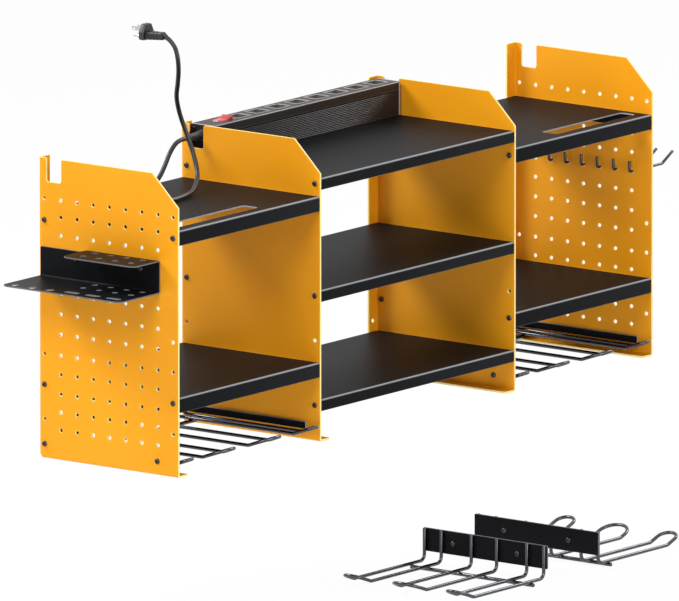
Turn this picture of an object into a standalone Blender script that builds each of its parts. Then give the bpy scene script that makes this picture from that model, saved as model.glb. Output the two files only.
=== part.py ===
"""Wall mounted power tool organizer: three shelf bays between folded panels.

Frame of the model: metres, +Z up. The wall is the plane y = 0 and the rack stands
out from it along -y. x = 0 is the middle of the rack's width and z = 0 is the lower
edge of the four panels. Everything that the wall or the rack carries is placed from
these three planes; two spare drill racks stand on the ground below.
"""
import math

import bmesh
import bpy
from mathutils import Matrix, Vector

# Rack
SIDE_BAY = 0.342
CENTRE_BAY = 0.478
DEPTH = 0.262
ABOVE_TOP_DECK = 0.055
SEAT_GAP = 0.0003
CUT_OVERRUN = 0.002

# Panels, folded from sheet with a wall flange and a bottom flange
PANEL_SHEET = 0.003
PANEL_BEND = 0.0015
PANEL_FLANGE = 0.024
PANEL_CORNER = 0.003
CHAMFER_DEEP = 0.049
CHAMFER_HIGH = 0.048
NOTCH_FROM_WALL = 0.0145
NOTCH_WIDE = 0.028
NOTCH_DEEP = 0.036
NOTCH_CORNER = 0.004

# Peg holes of the two end panels
PEG_HOLE_PLAY = 0.0015
PEG_PITCH_DEEP = 0.0304
PEG_FROM_WALL = 0.0413
PEG_FRONT_MARGIN = 0.030
PEG_ROW_SHARES = (0.1002, 0.1600, 0.2196, 0.2857, 0.3490, 0.4193, 0.4864,
                  0.5530, 0.6182, 0.6833, 0.7477, 0.8079, 0.8648)
HOLE_SIDES = 6

# Bolt columns beside the front edge and beside the wall, with their spare holes
FRONT_COLUMN = 0.010
WALL_COLUMN = 0.0106
FRONT_SPARE_SHARES = (0.1422, 0.3493, 0.4483, 0.862)
WALL_SPARE_SHARES = (0.132, 0.349, 0.866)
INNER_SPARE_SHARE = 0.336
WALL_SCREW_HOLE = 0.0065
WALL_SCREW_SHARES = (0.176, 0.418, 0.703)

# Shelves, trays folded down on four sides
SHELF_SHEET = 0.002
SHELF_BEND = 0.003
SIDE_LIP = 0.023
CENTRE_LIP = 0.018
CENTRE_TOP_DECK = 0.400
SIDE_TOP_DROP = 0.027
CENTRE_MID_SHARE = 0.575
CENTRE_LOW_SHARE = 0.160
SIDE_LOW_SHARE = 0.3025

# Slot in each side bay's top shelf for the guard of a circular saw
SAW_SLOT_LONG = 0.200
SAW_SLOT_WIDE = 0.028
SAW_SLOT_FROM_FRONT = 0.019
SAW_SLOT_FROM_PANEL = 0.016
SAW_SLOT_CORNER = 0.006

# Wire hairpins of the drill racks
TINE_WIRE = 0.005
TINE_BEND = 0.010
TINE_LOOP_REACH = 0.037
TINE_LOOP_RISE = 0.013
CROSS_ROD = 0.006
CROSS_ROD_FROM_PLATE = 0.032
CROSS_ROD_OVERHANG = 0.004

# Drill racks bolted under the side bays
BAY_RACK_SHEET = 0.003
BAY_RACK_BEND = 0.003
BAY_ROD_ABOVE_FOOT = 0.0022
BAY_TINE_STRAIGHT = 0.2287
BAY_END_PIN = 0.021
BAY_MID_PIN = 0.050
BAY_PIN_FROM_BEND = 0.0022
BAY_ARM_ABOVE_WIRE = 0.0008
BAY_ARM_HIGH = 0.011
BAY_ARM_FRONT = 0.025
BAY_PLATE_HIGH = 0.036
BAY_WIRE_TOP_MARGIN = 0.004

# Spare drill racks that stand on the ground
LOOSE_SHEET = 0.0025
LOOSE_PLATE_HIGH = 0.036
LOOSE_PLATE_FROM_WALL = 0.045
LOOSE_END_MARGIN = 0.0045
LOOSE_END_PIN = 0.032
LOOSE_MID_PIN = 0.048
LOOSE_SLOT = 0.057
LOOSE_TINE_DROP = 0.0136
LOOSE_TINE_STRAIGHT = 0.178
LOOSE_HOLE_DROP = 0.001
LOOSE_HOLE_STEPS = 4
LOOSE_CORNER = 0.002
LOOSE_A_FACE = 0.298
LOOSE_B_FACE = 0.429
GROUND = -0.303

# Power strip on the centre bay's top shelf
STRIP_FROM_PANEL = 0.014
STRIP_END_GAP = 0.004
STRIP_DEEP = 0.044
STRIP_HIGH = 0.0517
STRIP_FROM_WALL = 0.005
STRIP_WALL = 0.002
STRIP_COVER_SIDE = 0.0127
STRIP_COVER_TOP = 0.003
STRIP_CAP = 0.003
STRIP_CORNER = 0.002
RIB_PITCH = 0.0027
RIB_DEEP = 0.0008
OUTLETS = 8
OUTLET_FROM_SWITCH = 0.036
OUTLET_LAST = 0.0328
OUTLET_PAD_LONG = 0.034
OUTLET_PAD_WIDE = 0.028
OUTLET_PAD_HIGH = 0.001
BLADE_SLOT_LONG = 0.0068
BLADE_SLOT_WIDE = 0.0018
BLADE_SPREAD = 0.0127
EARTH_OFFSET = 0.0119
EARTH_HOLE = 0.0052
BUS_SHEET = 0.0008
BUS_WIDE = 0.0044
BUS_HIGH = 0.008
BUS_BEND = 0.0004
BUS_END_MARGIN = 0.006

# Rocker switch, which tilts about a pin along y
SWITCH_FROM_END = 0.051
ROCKER_HALF_LONG = 0.0145
ROCKER_HALF_WIDE = 0.009
ROCKER_END_HIGH = 0.0103
ROCKER_MID_HIGH = 0.0078
ROCKER_SKIRT = 0.0015
ROCKER_HUB = 0.0055
ROCKER_PIN = 0.003
ROCKER_PIVOT_DROP = 0.0065
ROCKER_TILT = math.radians(11)
POCKET_END_PLAY = 0.0023
POCKET_SIDE_PLAY = 0.0005
TUB_WALL = 0.0012
TUB_DEEP = 0.0135

# Gland at the strip's left end
GLAND_COLLAR = 0.016
GLAND_COLLAR_LONG = 0.003
GLAND_WIDE = 0.014
GLAND_TIP = 0.009
GLAND_LONG = 0.0398
GLAND_NECK = 0.009
GLAND_NECK_LONG = 0.006
GLAND_DROP = 0.0150
GLAND_FROM_WALL = 0.028
GLAND_HOLE_GAP = 0.0003

# Cord and its plug
CORD = 0.007
CORD_STEP = 0.0175
COIL_INNER = 0.029
COIL_OUTER = 0.046
COIL_LIFT = 0.0075
COIL_TURNS = 4.5
COIL_LOOP_POINTS = 24
COIL_FROM_PANEL = 0.263
COIL_FROM_WALL = 0.078
PLUG_RISE = 0.0052
PLUG_FACE_FROM_WALL = 0.022
PLUG_BASE_WIDE = 0.027
PLUG_BASE_TOP = 0.015
PLUG_BASE_HIGH = 0.024
PLUG_BASE_THICK = 0.009
PLUG_BASE_CORNER = 0.004
PLUG_GRIP_LONG = 0.038
PLUG_GRIP_WIDE = 0.019
PLUG_GRIP_END_WIDE = 0.011
PLUG_GRIP_LOW = 0.012
PLUG_GRIP_HIGH = 0.0015
PLUG_GRIP_END_LOW = 0.0095
PLUG_GRIP_END_HIGH = 0.002
PLUG_GRIP_CORNER = 0.003
PLUG_TAIL = 0.009
PLUG_TAIL_LONG = 0.0085
PLUG_TAIL_TILT = math.radians(30)
PIN_LONG = 0.0165
PIN_WIDE = 0.0063
PIN_THICK = 0.0015
EARTH_PIN = 0.0048
EARTH_PIN_LONG = 0.0185
PIN_RISE = 0.004
EARTH_PIN_DROP = 0.0079

# The cord's route from the gland down to the coil, as far from the corner where the
# left top shelf, the left inner panel and the wall meet
STRIP_RUN_ROUTE = (
    (-0.0264, -0.0280, 0.0640),
    (-0.0350, -0.0280, 0.0640),
    (-0.0510, -0.0283, 0.0605),
    (-0.0670, -0.0290, 0.0485),
    (-0.0810, -0.0300, 0.0310),
    (-0.0970, -0.0310, 0.0150),
    (-0.1170, -0.0316, 0.0062),
    (-0.1410, -0.0320, 0.0038),
    (-0.1910, -0.0322, 0.0038),
    (-0.2210, -0.0320, 0.0038),
    (-0.2470, -0.0320, 0.0038),
    (-0.2557, -0.0320, 0.0038),
)

# The cord's route from the coil up the wall to the plug, from the same corner
WALL_RUN_ROUTE = (
    (-0.2557, -0.1240, 0.0113),
    (-0.2470, -0.1240, 0.0112),
    (-0.2210, -0.1232, 0.0080),
    (-0.1860, -0.1205, 0.0045),
    (-0.1460, -0.1150, 0.0040),
    (-0.1100, -0.1060, 0.0070),
    (-0.0790, -0.0900, 0.0230),
    (-0.0650, -0.0720, 0.0510),
    (-0.0670, -0.0590, 0.0840),
    (-0.0780, -0.0550, 0.1160),
    (-0.0920, -0.0610, 0.1420),
    (-0.1020, -0.0710, 0.1640),
    (-0.1130, -0.0810, 0.1880),
    (-0.1200, -0.0845, 0.2080),
    (-0.1210, -0.0805, 0.2220),
    (-0.1210, -0.0718, 0.2312),
    (-0.1210, -0.0648, 0.2353),
)

# Hooks in the right end panel's peg holes
HOOK_WIRE = 0.0045
HOOKS = 6
HOOK_ROW = 8
HOOK_INSIDE = 0.006
HOOK_INSIDE_RISE = 0.0165
HOOK_BEND = 0.004
HOOK_STRAIGHT = 0.074
HOOK_REACH = 0.101
HOOK_TIP_RISE = 0.0156

# Tool holder on the left end panel
HOLDER_SHEET = 0.002
HOLDER_BEND = 0.002
HOLDER_LOW = 0.275
HOLDER_HIGH = 0.050
HOLDER_FROM_WALL = 0.005
HOLDER_LONG = 0.2237
HOLDER_LOW_DEEP = 0.098
HOLDER_TOP_DEEP = 0.064
HOLDER_TOP_FROM_WALL = 0.092
HOLDER_CORNER = 0.012
HOLDER_HOLE = 0.009
HOLDER_HOLE_FROM_TOP_END = 0.025
HOLDER_HOLE_FROM_FAR_END = 0.0217
HOLDER_ROW_SHARES = (0.234375, 0.671875)
HOLDER_HOLES = 4
HOLDER_WIDE_HOLE = 0.013
HOLDER_WIDE_HOLES = 3
HOLDER_WIDE_PITCH = 0.033
HOLDER_WIDE_FROM_END = 0.017
HOLDER_WIDE_FROM_EDGE = 0.012
HOLDER_SLOT_WIDE = 0.009
HOLDER_SLOT_FROM_EDGE = 0.017
HOLDER_SLOT_BRIDGE = 0.013
HOLDER_SLOT_FROM_TOP_END = 0.021
HOLDER_SLOT_FROM_FAR_END = 0.0117
HOLDER_SLOTS = 3

# Places that follow from the sizes above
HALF_WIDTH = CENTRE_BAY / 2 + SIDE_BAY + 2 * PANEL_SHEET
INNER_FACE = CENTRE_BAY / 2
HEIGHT = CENTRE_TOP_DECK + ABOVE_TOP_DECK
SIDE_TOP_DECK = CENTRE_TOP_DECK - SIDE_TOP_DROP
SIDE_LOW_DECK = CENTRE_TOP_DECK * SIDE_LOW_SHARE
CENTRE_MID_DECK = CENTRE_TOP_DECK * CENTRE_MID_SHARE
CENTRE_LOW_DECK = CENTRE_TOP_DECK * CENTRE_LOW_SHARE
BEND_OUTER = PANEL_SHEET + PANEL_BEND
PEG_HOLE = HOOK_WIRE + PEG_HOLE_PLAY
STRIP_LEFT = -INNER_FACE + STRIP_FROM_PANEL
STRIP_LONG = CENTRE_BAY - STRIP_FROM_PANEL - STRIP_END_GAP
OUTLET_FIRST = SWITCH_FROM_END + OUTLET_FROM_SWITCH
OUTLET_PITCH = (STRIP_LONG - OUTLET_FIRST - OUTLET_LAST) / (OUTLETS - 1)
STRIP_BOTTOM = CENTRE_TOP_DECK + SEAT_GAP
STRIP_TOP = STRIP_BOTTOM + STRIP_HIGH
STRIP_MID_Y = -(STRIP_FROM_WALL + STRIP_DEEP / 2)
COVER_UNDER = STRIP_TOP - STRIP_COVER_TOP
SWITCH_X = STRIP_LEFT + SWITCH_FROM_END
PIVOT_Z = STRIP_TOP - ROCKER_PIVOT_DROP
POCKET_HALF_LONG = ROCKER_HALF_LONG + POCKET_END_PLAY
POCKET_HALF_WIDE = ROCKER_HALF_WIDE + POCKET_SIDE_PLAY
CORD_CORNER = Vector((-INNER_FACE, 0, SIDE_TOP_DECK))
CORD_END = CORD_CORNER + Vector(WALL_RUN_ROUTE[-1])
PLUG_X = CORD_END.x
PLUG_Z = CORD_END.z + PLUG_RISE
COIL_X = CORD_CORNER.x - COIL_FROM_PANEL
COIL_Y = -COIL_FROM_WALL
WIRE_R = TINE_WIRE / 2
ROD_R = CROSS_ROD / 2
ROD_DROP = WIRE_R + ROD_R + SEAT_GAP
BAY_TINE_LEVEL = PANEL_SHEET + BAY_ROD_ABOVE_FOOT + ROD_R + ROD_DROP
BAY_ARM_LOW = BAY_TINE_LEVEL + WIRE_R + BAY_ARM_ABOVE_WIRE
BAY_END_MARGIN = SEAT_GAP + BAY_RACK_SHEET + BAY_RACK_BEND + BAY_PIN_FROM_BEND
HOLDER_TOP_LONG = HOLDER_FROM_WALL + HOLDER_LONG - HOLDER_TOP_FROM_WALL
HOLDER_HOLE_PITCH = ((HOLDER_TOP_LONG - HOLDER_HOLE_FROM_TOP_END - HOLDER_HOLE_FROM_FAR_END)
                     / (HOLDER_HOLES - 1))
HOLDER_SLOT_RUN = HOLDER_TOP_LONG - HOLDER_SLOT_FROM_TOP_END - HOLDER_SLOT_FROM_FAR_END
HOLDER_SLOT_LONG = (HOLDER_SLOT_RUN - (HOLDER_SLOTS - 1) * HOLDER_SLOT_BRIDGE) / HOLDER_SLOTS

WEB_PLANE = Matrix(((0, 0, 1), (1, 0, 0), (0, 1, 0))).to_4x4()
FRONT_PLANE = Matrix(((1, 0, 0), (0, 0, -1), (0, 1, 0))).to_4x4()
FLOOR_PLANE = Matrix.Identity(4)


# Scene and materials

def clear_scene():
    for obj in list(bpy.data.objects):
        bpy.data.objects.remove(obj, do_unlink=True)


def new_collection(name):
    collection = bpy.data.collections.new(name)
    bpy.context.scene.collection.children.link(collection)
    return collection


def painted(name, colour, roughness, metallic=0.0, alpha=1.0):
    """A Principled material of one colour, given as linear red, green and blue."""
    material = bpy.data.materials.new(name)
    material.use_nodes = True
    shader = material.node_tree.nodes["Principled BSDF"]
    shader.inputs["Base Color"].default_value = (*colour, 1.0)
    shader.inputs["Roughness"].default_value = roughness
    shader.inputs["Metallic"].default_value = metallic
    shader.inputs["Alpha"].default_value = alpha
    material.diffuse_color = (*colour, 1.0)
    return material


clear_scene()
PARTS = new_collection("power_tool_organizer")
CUTTERS = new_collection("cutters")

ORANGE = painted("orange_powder_coat", (0.88, 0.40, 0.015), 0.45)
BLACK = painted("black_powder_coat", (0.024, 0.026, 0.030), 0.50)
WIRE = painted("dark_wire", (0.030, 0.032, 0.036), 0.28, 0.6)
CHARCOAL = painted("charcoal_plastic", (0.030, 0.027, 0.026), 0.45)
RED = painted("red_rocker_plastic", (0.70, 0.03, 0.05), 0.25)
INSULATOR = painted("insulating_plastic", (0.04, 0.04, 0.045), 0.55)
BRASS = painted("brass", (0.72, 0.50, 0.18), 0.30, 1.0)
RUBBER = painted("black_cord_rubber", (0.012, 0.012, 0.013), 0.60)
PLATED = painted("plated_pins", (0.75, 0.74, 0.70), 0.25, 1.0)


# Outlines in a plane

def circle(u, v, diameter, sides=HOLE_SIDES):
    """A closed outline round (u, v), with a flat side up."""
    steps = ((index + 0.5) * math.tau / sides for index in range(sides))
    radius = diameter / 2
    return [(u + radius * math.cos(a), v + radius * math.sin(a)) for a in steps]


def rectangle(u0, v0, u1, v1):
    return [(u0, v0), (u1, v0), (u1, v1), (u0, v1)]


def rounded(corners, radii, segments=3):
    """The outline through these corners, each rounded to its radius by an arc."""
    outline = []
    count = len(corners)
    for index in range(count):
        corner = Vector(corners[index])
        radius = radii[index]
        if radius == 0:
            outline.append(tuple(corner))
            continue
        to_last = (Vector(corners[index - 1]) - corner).normalized()
        to_next = (Vector(corners[(index + 1) % count]) - corner).normalized()
        half = to_last.angle(to_next) / 2
        reach = radius / math.tan(half)
        centre = corner + (to_last + to_next).normalized() * (radius / math.sin(half))
        start = corner + to_last * reach - centre
        finish = corner + to_next * reach - centre
        turn = start.angle_signed(finish)
        for step in range(segments + 1):
            spoke = start.copy()
            spoke.rotate(Matrix.Rotation(-turn * step / segments, 2))
            outline.append(tuple(centre + spoke))
    return outline


def folded(path, sheet, bend, segments=3):
    """The outline of sheet folded along an open path of its middle line."""
    middle = [Vector(path[0])]
    for index in range(1, len(path) - 1):
        radii = [0, bend + sheet / 2, 0]
        middle += [Vector(p) for p in rounded(path[index - 1:index + 2], radii, segments)[1:-1]]
    middle.append(Vector(path[-1]))
    left = []
    right = []
    for index, point in enumerate(middle):
        before = (point - middle[index - 1]).normalized() if index else None
        after = (middle[index + 1] - point).normalized() if index + 1 < len(middle) else None
        before = before or after
        after = after or before
        along = (before + after).normalized()
        across = Vector((-along.y, along.x)) * (sheet / 2 / along.dot(before))
        left.append(tuple(point + across))
        right.append(tuple(point - across))
    return left + right[::-1]


# Solids from outlines, boxes and paths

def finish(obj, material, collection=None):
    obj.data.materials.clear()
    obj.data.materials.append(material)
    if obj.type == "MESH":
        obj.data.shade_smooth()
        obj.data.set_sharp_from_angle(angle=math.radians(35))
    (collection or PARTS).objects.link(obj)
    return obj


def curve_to_mesh(name, curve, matrix):
    """The curve as a mesh with its caps welded; the curve is removed."""
    temporary = bpy.data.objects.new(name + "_curve", curve)
    temporary.matrix_world = matrix
    bpy.context.scene.collection.objects.link(temporary)
    bpy.context.view_layer.update()
    graph = bpy.context.evaluated_depsgraph_get()
    mesh = bpy.data.meshes.new_from_object(temporary.evaluated_get(graph))
    bpy.data.objects.remove(temporary, do_unlink=True)
    bpy.data.curves.remove(curve)
    shape = bmesh.new()
    shape.from_mesh(mesh)
    bmesh.ops.remove_doubles(shape, verts=shape.verts, dist=1e-6)
    bmesh.ops.recalc_face_normals(shape, faces=shape.faces)
    shape.to_mesh(mesh)
    shape.free()
    mesh.name = name
    solid = bpy.data.objects.new(name, mesh)
    solid.matrix_world = matrix
    return solid


def extruded(name, outlines, plane, low, high):
    """Flat outlines, with holes inside them, made as thick as from low to high."""
    curve = bpy.data.curves.new(name, "CURVE")
    curve.dimensions = "2D"
    curve.fill_mode = "BOTH"
    curve.extrude = (high - low) / 2
    for outline in outlines:
        spline = curve.splines.new("POLY")
        spline.points.add(len(outline) - 1)
        for point, (u, v) in zip(spline.points, outline):
            point.co = (u, v, 0, 1)
        spline.use_cyclic_u = True
    middle = (low + high) / 2
    if plane is FRONT_PLANE:
        middle = -middle
    return curve_to_mesh(name, curve, plane @ Matrix.Translation((0, 0, middle)))


def box(name, low, high):
    mesh = bpy.data.meshes.new(name)
    shape = bmesh.new()
    size = Vector(high) - Vector(low)
    place = Matrix.Translation((Vector(high) + Vector(low)) / 2)
    bmesh.ops.create_cube(shape, size=1, matrix=place @ Matrix.Diagonal((*size, 1)))
    shape.to_mesh(mesh)
    shape.free()
    return bpy.data.objects.new(name, mesh)


def drum(name, base_diameter, tip_diameter, start, end, sides):
    """A cylinder or cone from the point start to the point end."""
    mesh = bpy.data.meshes.new(name)
    shape = bmesh.new()
    along = Vector(end) - Vector(start)
    turn = along.to_track_quat("Z", "Y").to_matrix().to_4x4()
    place = Matrix.Translation((Vector(start) + Vector(end)) / 2) @ turn
    bmesh.ops.create_cone(
        shape, cap_ends=True, segments=sides, radius1=base_diameter / 2,
        radius2=tip_diameter / 2, depth=along.length, matrix=place)
    shape.to_mesh(mesh)
    shape.free()
    return bpy.data.objects.new(name, mesh)


def flat_sheet(outlines, plane, place):
    """Outlines filled as one open surface at this place along the plane's normal."""
    flat = extruded("flat", outlines, plane, place, place)
    shape = bmesh.new()
    shape.from_mesh(flat.data)
    shape.transform(flat.matrix_world)
    bpy.data.objects.remove(flat, do_unlink=True)
    inner = [edge for edge in shape.edges if not edge.is_boundary]
    bmesh.ops.beautify_fill(shape, faces=shape.faces, edges=inner, method="ANGLE")
    return shape


def border(shape, test):
    """The open edges of a surface whose two ends both pass the test."""
    return [edge for edge in shape.edges
            if edge.is_boundary and all(test(vert.co) for vert in edge.verts)]


def fold_edges(shape, edges, pivot, axis, angle, steps=3):
    """Sweeps edges round the pivot as a bend and returns the edges it ends on."""
    swept = bmesh.ops.spin(
        shape, geom=edges, cent=pivot, axis=axis, angle=angle, steps=steps)
    return [item for item in swept["geom_last"] if isinstance(item, bmesh.types.BMEdge)]


def extend_edges(shape, edges, reach):
    """Pulls edges straight on as a flange and returns the edges it ends on."""
    pulled = bmesh.ops.extrude_edge_only(shape, edges=edges)["geom"]
    verts = [item for item in pulled if isinstance(item, bmesh.types.BMVert)]
    bmesh.ops.translate(shape, verts=verts, vec=reach)
    return [item for item in pulled if isinstance(item, bmesh.types.BMEdge)
            and item.is_boundary and all(vert in verts for vert in item.verts)]


def add_sheet(shape, other):
    """Joins another open surface to this one, edge to edge."""
    mesh = bpy.data.meshes.new("sheet")
    other.to_mesh(mesh)
    other.free()
    shape.from_mesh(mesh)
    bpy.data.meshes.remove(mesh)


def sheet_metal(name, shape, sheet):
    """The open surface given a sheet's thickness, half on each side."""
    bmesh.ops.remove_doubles(shape, verts=shape.verts, dist=1e-6)
    bmesh.ops.recalc_face_normals(shape, faces=shape.faces)
    mesh = bpy.data.meshes.new(name)
    shape.to_mesh(mesh)
    shape.free()
    obj = bpy.data.objects.new(name, mesh)
    wall = obj.modifiers.new("Sheet", "SOLIDIFY")
    wall.thickness = sheet
    wall.offset = 0
    wall.use_even_offset = True
    return obj


def as_helper(obj):
    CUTTERS.objects.link(obj)
    obj.hide_render = True
    obj.display_type = "WIRE"
    return obj


def combine(obj, other, operation):
    modifier = obj.modifiers.new(operation.title(), "BOOLEAN")
    modifier.operation = operation
    modifier.object = as_helper(other)
    modifier.solver = "EXACT"
    return obj


def tube(name, points, diameter, resolution, material):
    """A round wire through the points, closed at both ends."""
    curve = bpy.data.curves.new(name, "CURVE")
    curve.dimensions = "3D"
    curve.bevel_depth = diameter / 2
    curve.bevel_resolution = resolution
    curve.use_fill_caps = True
    spline = curve.splines.new("POLY")
    spline.points.add(len(points) - 1)
    for point, place in zip(spline.points, points):
        point.co = (*place, 1)
    return finish(bpy.data.objects.new(name, curve), material)


# Panels

def near(a, b):
    return math.isclose(a, b, abs_tol=SEAT_GAP / 100)


def panel_outline():
    """The web's outline: straight at the wall and below, cut off at the top front."""
    notch_end = NOTCH_FROM_WALL + NOTCH_WIDE
    corners = [
        (-BEND_OUTER, BEND_OUTER),
        (-BEND_OUTER, HEIGHT),
        (-NOTCH_FROM_WALL, HEIGHT),
        (-NOTCH_FROM_WALL, HEIGHT - NOTCH_DEEP),
        (-notch_end, HEIGHT - NOTCH_DEEP),
        (-notch_end, HEIGHT),
        (-DEPTH + CHAMFER_DEEP, HEIGHT),
        (-DEPTH, HEIGHT - CHAMFER_HIGH),
        (-DEPTH, BEND_OUTER),
    ]
    radii = [0, 0, PANEL_CORNER, NOTCH_CORNER, NOTCH_CORNER, PANEL_CORNER,
             PANEL_CORNER, PANEL_CORNER, 0]
    return rounded(corners, radii)


def peg_columns():
    """Distances of the peg columns from the wall."""
    span = DEPTH - PEG_FRONT_MARGIN - PEG_FROM_WALL
    return [PEG_FROM_WALL + step * PEG_PITCH_DEEP for step in range(int(span / PEG_PITCH_DEEP) + 1)]


def peg_rows():
    """Heights of the peg rows, closer together near both ends."""
    return [share * HEIGHT for share in PEG_ROW_SHARES]


def end_panel_holes():
    holes = [circle(-deep, high, PEG_HOLE) for deep in peg_columns() for high in peg_rows()]
    front = -DEPTH + FRONT_COLUMN
    holes += [circle(front, share * HEIGHT, PEG_HOLE) for share in FRONT_SPARE_SHARES]
    holes += [circle(-WALL_COLUMN, share * HEIGHT, PEG_HOLE) for share in WALL_SPARE_SHARES]
    return holes


def inner_panel_holes():
    high = INNER_SPARE_SHARE * HEIGHT
    return [circle(-DEPTH + FRONT_COLUMN, high, PEG_HOLE), circle(-WALL_COLUMN, high, PEG_HOLE)]


def panel(name, outer, holes, mirrored=False):
    """A panel whose web starts at x = outer and whose flanges turn to +x, or its mirror image."""
    middle = PANEL_SHEET / 2
    bend = PANEL_BEND + middle
    web_x = outer + middle
    fold_x = web_x + bend
    flange_x = outer + PANEL_FLANGE
    shape = flat_sheet([panel_outline()] + holes, WEB_PLANE, web_x)
    rear = border(shape, lambda co: near(co.y, -BEND_OUTER))
    foot = border(shape, lambda co: near(co.z, BEND_OUTER))
    fold_edges(shape, rear, (fold_x, -BEND_OUTER, 0), (0, 0, 1), -math.pi / 2)
    foot = fold_edges(shape, foot, (fold_x, 0, BEND_OUTER), (0, 1, 0), -math.pi / 2)
    extend_edges(shape, foot, Vector((flange_x - fold_x, 0, 0)))
    screw_x = outer + (BEND_OUTER + PANEL_FLANGE) / 2
    screws = [circle(screw_x, share * HEIGHT, WALL_SCREW_HOLE) for share in WALL_SCREW_SHARES]
    flange = rectangle(fold_x, BEND_OUTER, flange_x, HEIGHT)
    add_sheet(shape, flat_sheet([flange] + screws, FRONT_PLANE, -middle))
    if mirrored:
        shape.transform(Matrix.Diagonal((-1, 1, 1, 1)))
    return finish(sheet_metal(name, shape, PANEL_SHEET), ORANGE)


panel("panel_left_end", -HALF_WIDTH, end_panel_holes())
panel("panel_left_inner", -INNER_FACE - PANEL_SHEET, inner_panel_holes())
panel("panel_right_inner", -INNER_FACE - PANEL_SHEET, inner_panel_holes(), mirrored=True)
panel("panel_right_end", -HALF_WIDTH, end_panel_holes(), mirrored=True)


# Shelves

def shelf(name, west, east, deck, lip):
    """A tray upside down between two panels, its front lip flush with their front edges."""
    low = Vector((west + SEAT_GAP, -DEPTH, deck - lip))
    high = Vector((east - SEAT_GAP, -PANEL_SHEET - SEAT_GAP, deck))
    tray = box(name, low, high)
    shape = bmesh.new()
    shape.from_mesh(tray.data)
    shape.faces.ensure_lookup_table()
    under = [face for face in shape.faces if face.normal.z < -0.5]
    bmesh.ops.delete(shape, geom=under, context="FACES_ONLY")
    shape.to_mesh(tray.data)
    shape.free()
    bevel = tray.modifiers.new("Folds", "BEVEL")
    bevel.width = SHELF_BEND
    bevel.segments = 2
    bevel.limit_method = "ANGLE"
    wall = tray.modifiers.new("Sheet", "SOLIDIFY")
    wall.thickness = SHELF_SHEET
    wall.offset = -1
    wall.use_even_offset = True
    return finish(tray, BLACK)


def saw_slot(tray, middle):
    deep = -DEPTH + SAW_SLOT_FROM_FRONT + SAW_SLOT_WIDE / 2
    outline = rounded(
        rectangle(middle - SAW_SLOT_LONG / 2, deep - SAW_SLOT_WIDE / 2,
                  middle + SAW_SLOT_LONG / 2, deep + SAW_SLOT_WIDE / 2),
        [SAW_SLOT_CORNER] * 4)
    cutter = extruded(tray.name + "_saw_slot", [outline], FLOOR_PLANE,
                      SIDE_TOP_DECK - SHELF_SHEET - CUT_OVERRUN, SIDE_TOP_DECK + CUT_OVERRUN)
    combine(tray, cutter, "DIFFERENCE")


SIDE_WEST = -HALF_WIDTH + PANEL_SHEET
SIDE_EAST = -INNER_FACE - PANEL_SHEET
SAW_SLOT_MIDDLE = -SIDE_WEST - SAW_SLOT_FROM_PANEL - SAW_SLOT_LONG / 2
saw_slot(shelf("shelf_left_top", SIDE_WEST, SIDE_EAST, SIDE_TOP_DECK, SIDE_LIP),
         -SAW_SLOT_MIDDLE)
shelf("shelf_left_low", SIDE_WEST, SIDE_EAST, SIDE_LOW_DECK, SIDE_LIP)
shelf("shelf_centre_top", -INNER_FACE, INNER_FACE, CENTRE_TOP_DECK, CENTRE_LIP)
shelf("shelf_centre_mid", -INNER_FACE, INNER_FACE, CENTRE_MID_DECK, CENTRE_LIP)
shelf("shelf_centre_low", -INNER_FACE, INNER_FACE, CENTRE_LOW_DECK, CENTRE_LIP)
saw_slot(shelf("shelf_right_top", -SIDE_EAST, -SIDE_WEST, SIDE_TOP_DECK, SIDE_LIP),
         SAW_SLOT_MIDDLE)
shelf("shelf_right_low", -SIDE_EAST, -SIDE_WEST, SIDE_LOW_DECK, SIDE_LIP)


# Drill racks

def hairpin_points(base, out, side, legs, top, straight):
    """The middle line of one wire pin.

    base is a point on the plate's face at the tines' level, out and side are unit
    vectors, legs the two sideways places, top the height of the wire above the tines
    and straight the level run from the plate to where the loop starts to rise.
    """
    up = Vector((0, 0, 1))
    standoff = WIRE_R + SEAT_GAP
    bend_steps = 3
    leg = [(standoff, top)]
    for step in range(bend_steps + 1):
        angle = math.pi / 2 * step / bend_steps
        leg.append((standoff + TINE_BEND * (1 - math.cos(angle)),
                    TINE_BEND * (1 - math.sin(angle))))
    leg.append((straight, 0))
    radius = abs(legs[1] - legs[0]) / 2
    slope = math.atan2(TINE_LOOP_RISE, TINE_LOOP_REACH)
    arc_start = math.hypot(TINE_LOOP_RISE, TINE_LOOP_REACH) - radius
    first = [base + out * o + up * h + side * legs[0] for o, h in leg]
    second = [base + out * o + up * h + side * legs[1] for o, h in reversed(leg)]
    rising = out * math.cos(slope) + up * math.sin(slope)
    hinge = base + out * straight + side * (legs[0] + legs[1]) / 2
    arc_steps = 6
    loop = []
    for step in range(arc_steps + 1):
        angle = math.pi * step / arc_steps
        ahead = arc_start + radius * math.sin(angle)
        aside = (legs[0] - legs[1]) / 2 * math.cos(angle)
        loop.append(hinge + rising * ahead + side * aside)
    return first + loop + second


def leg_pairs(start, widths, slot):
    """The two leg places of each pin, from one side to the other."""
    pairs = []
    place = start
    for width in widths:
        pairs.append((place, place + width))
        place += width + slot
    return pairs


def tines(prefix, base, out, side, pairs, top, straight):
    for index, legs in enumerate(pairs, start=1):
        points = hairpin_points(base, out, side, legs, top, straight)
        tube(f"{prefix}_tine_{index}", points, TINE_WIRE, 1, WIRE)


def cross_rod(name, base, out, side, pairs):
    """The straight rod that ties the pins together from below."""
    place = base + out * CROSS_ROD_FROM_PLATE - Vector((0, 0, ROD_DROP))
    start = place + side * (pairs[0][0] - CROSS_ROD_OVERHANG)
    end = place + side * (pairs[-1][1] + CROSS_ROD_OVERHANG)
    tube(name, [start, end], CROSS_ROD, 2, WIRE)


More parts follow.
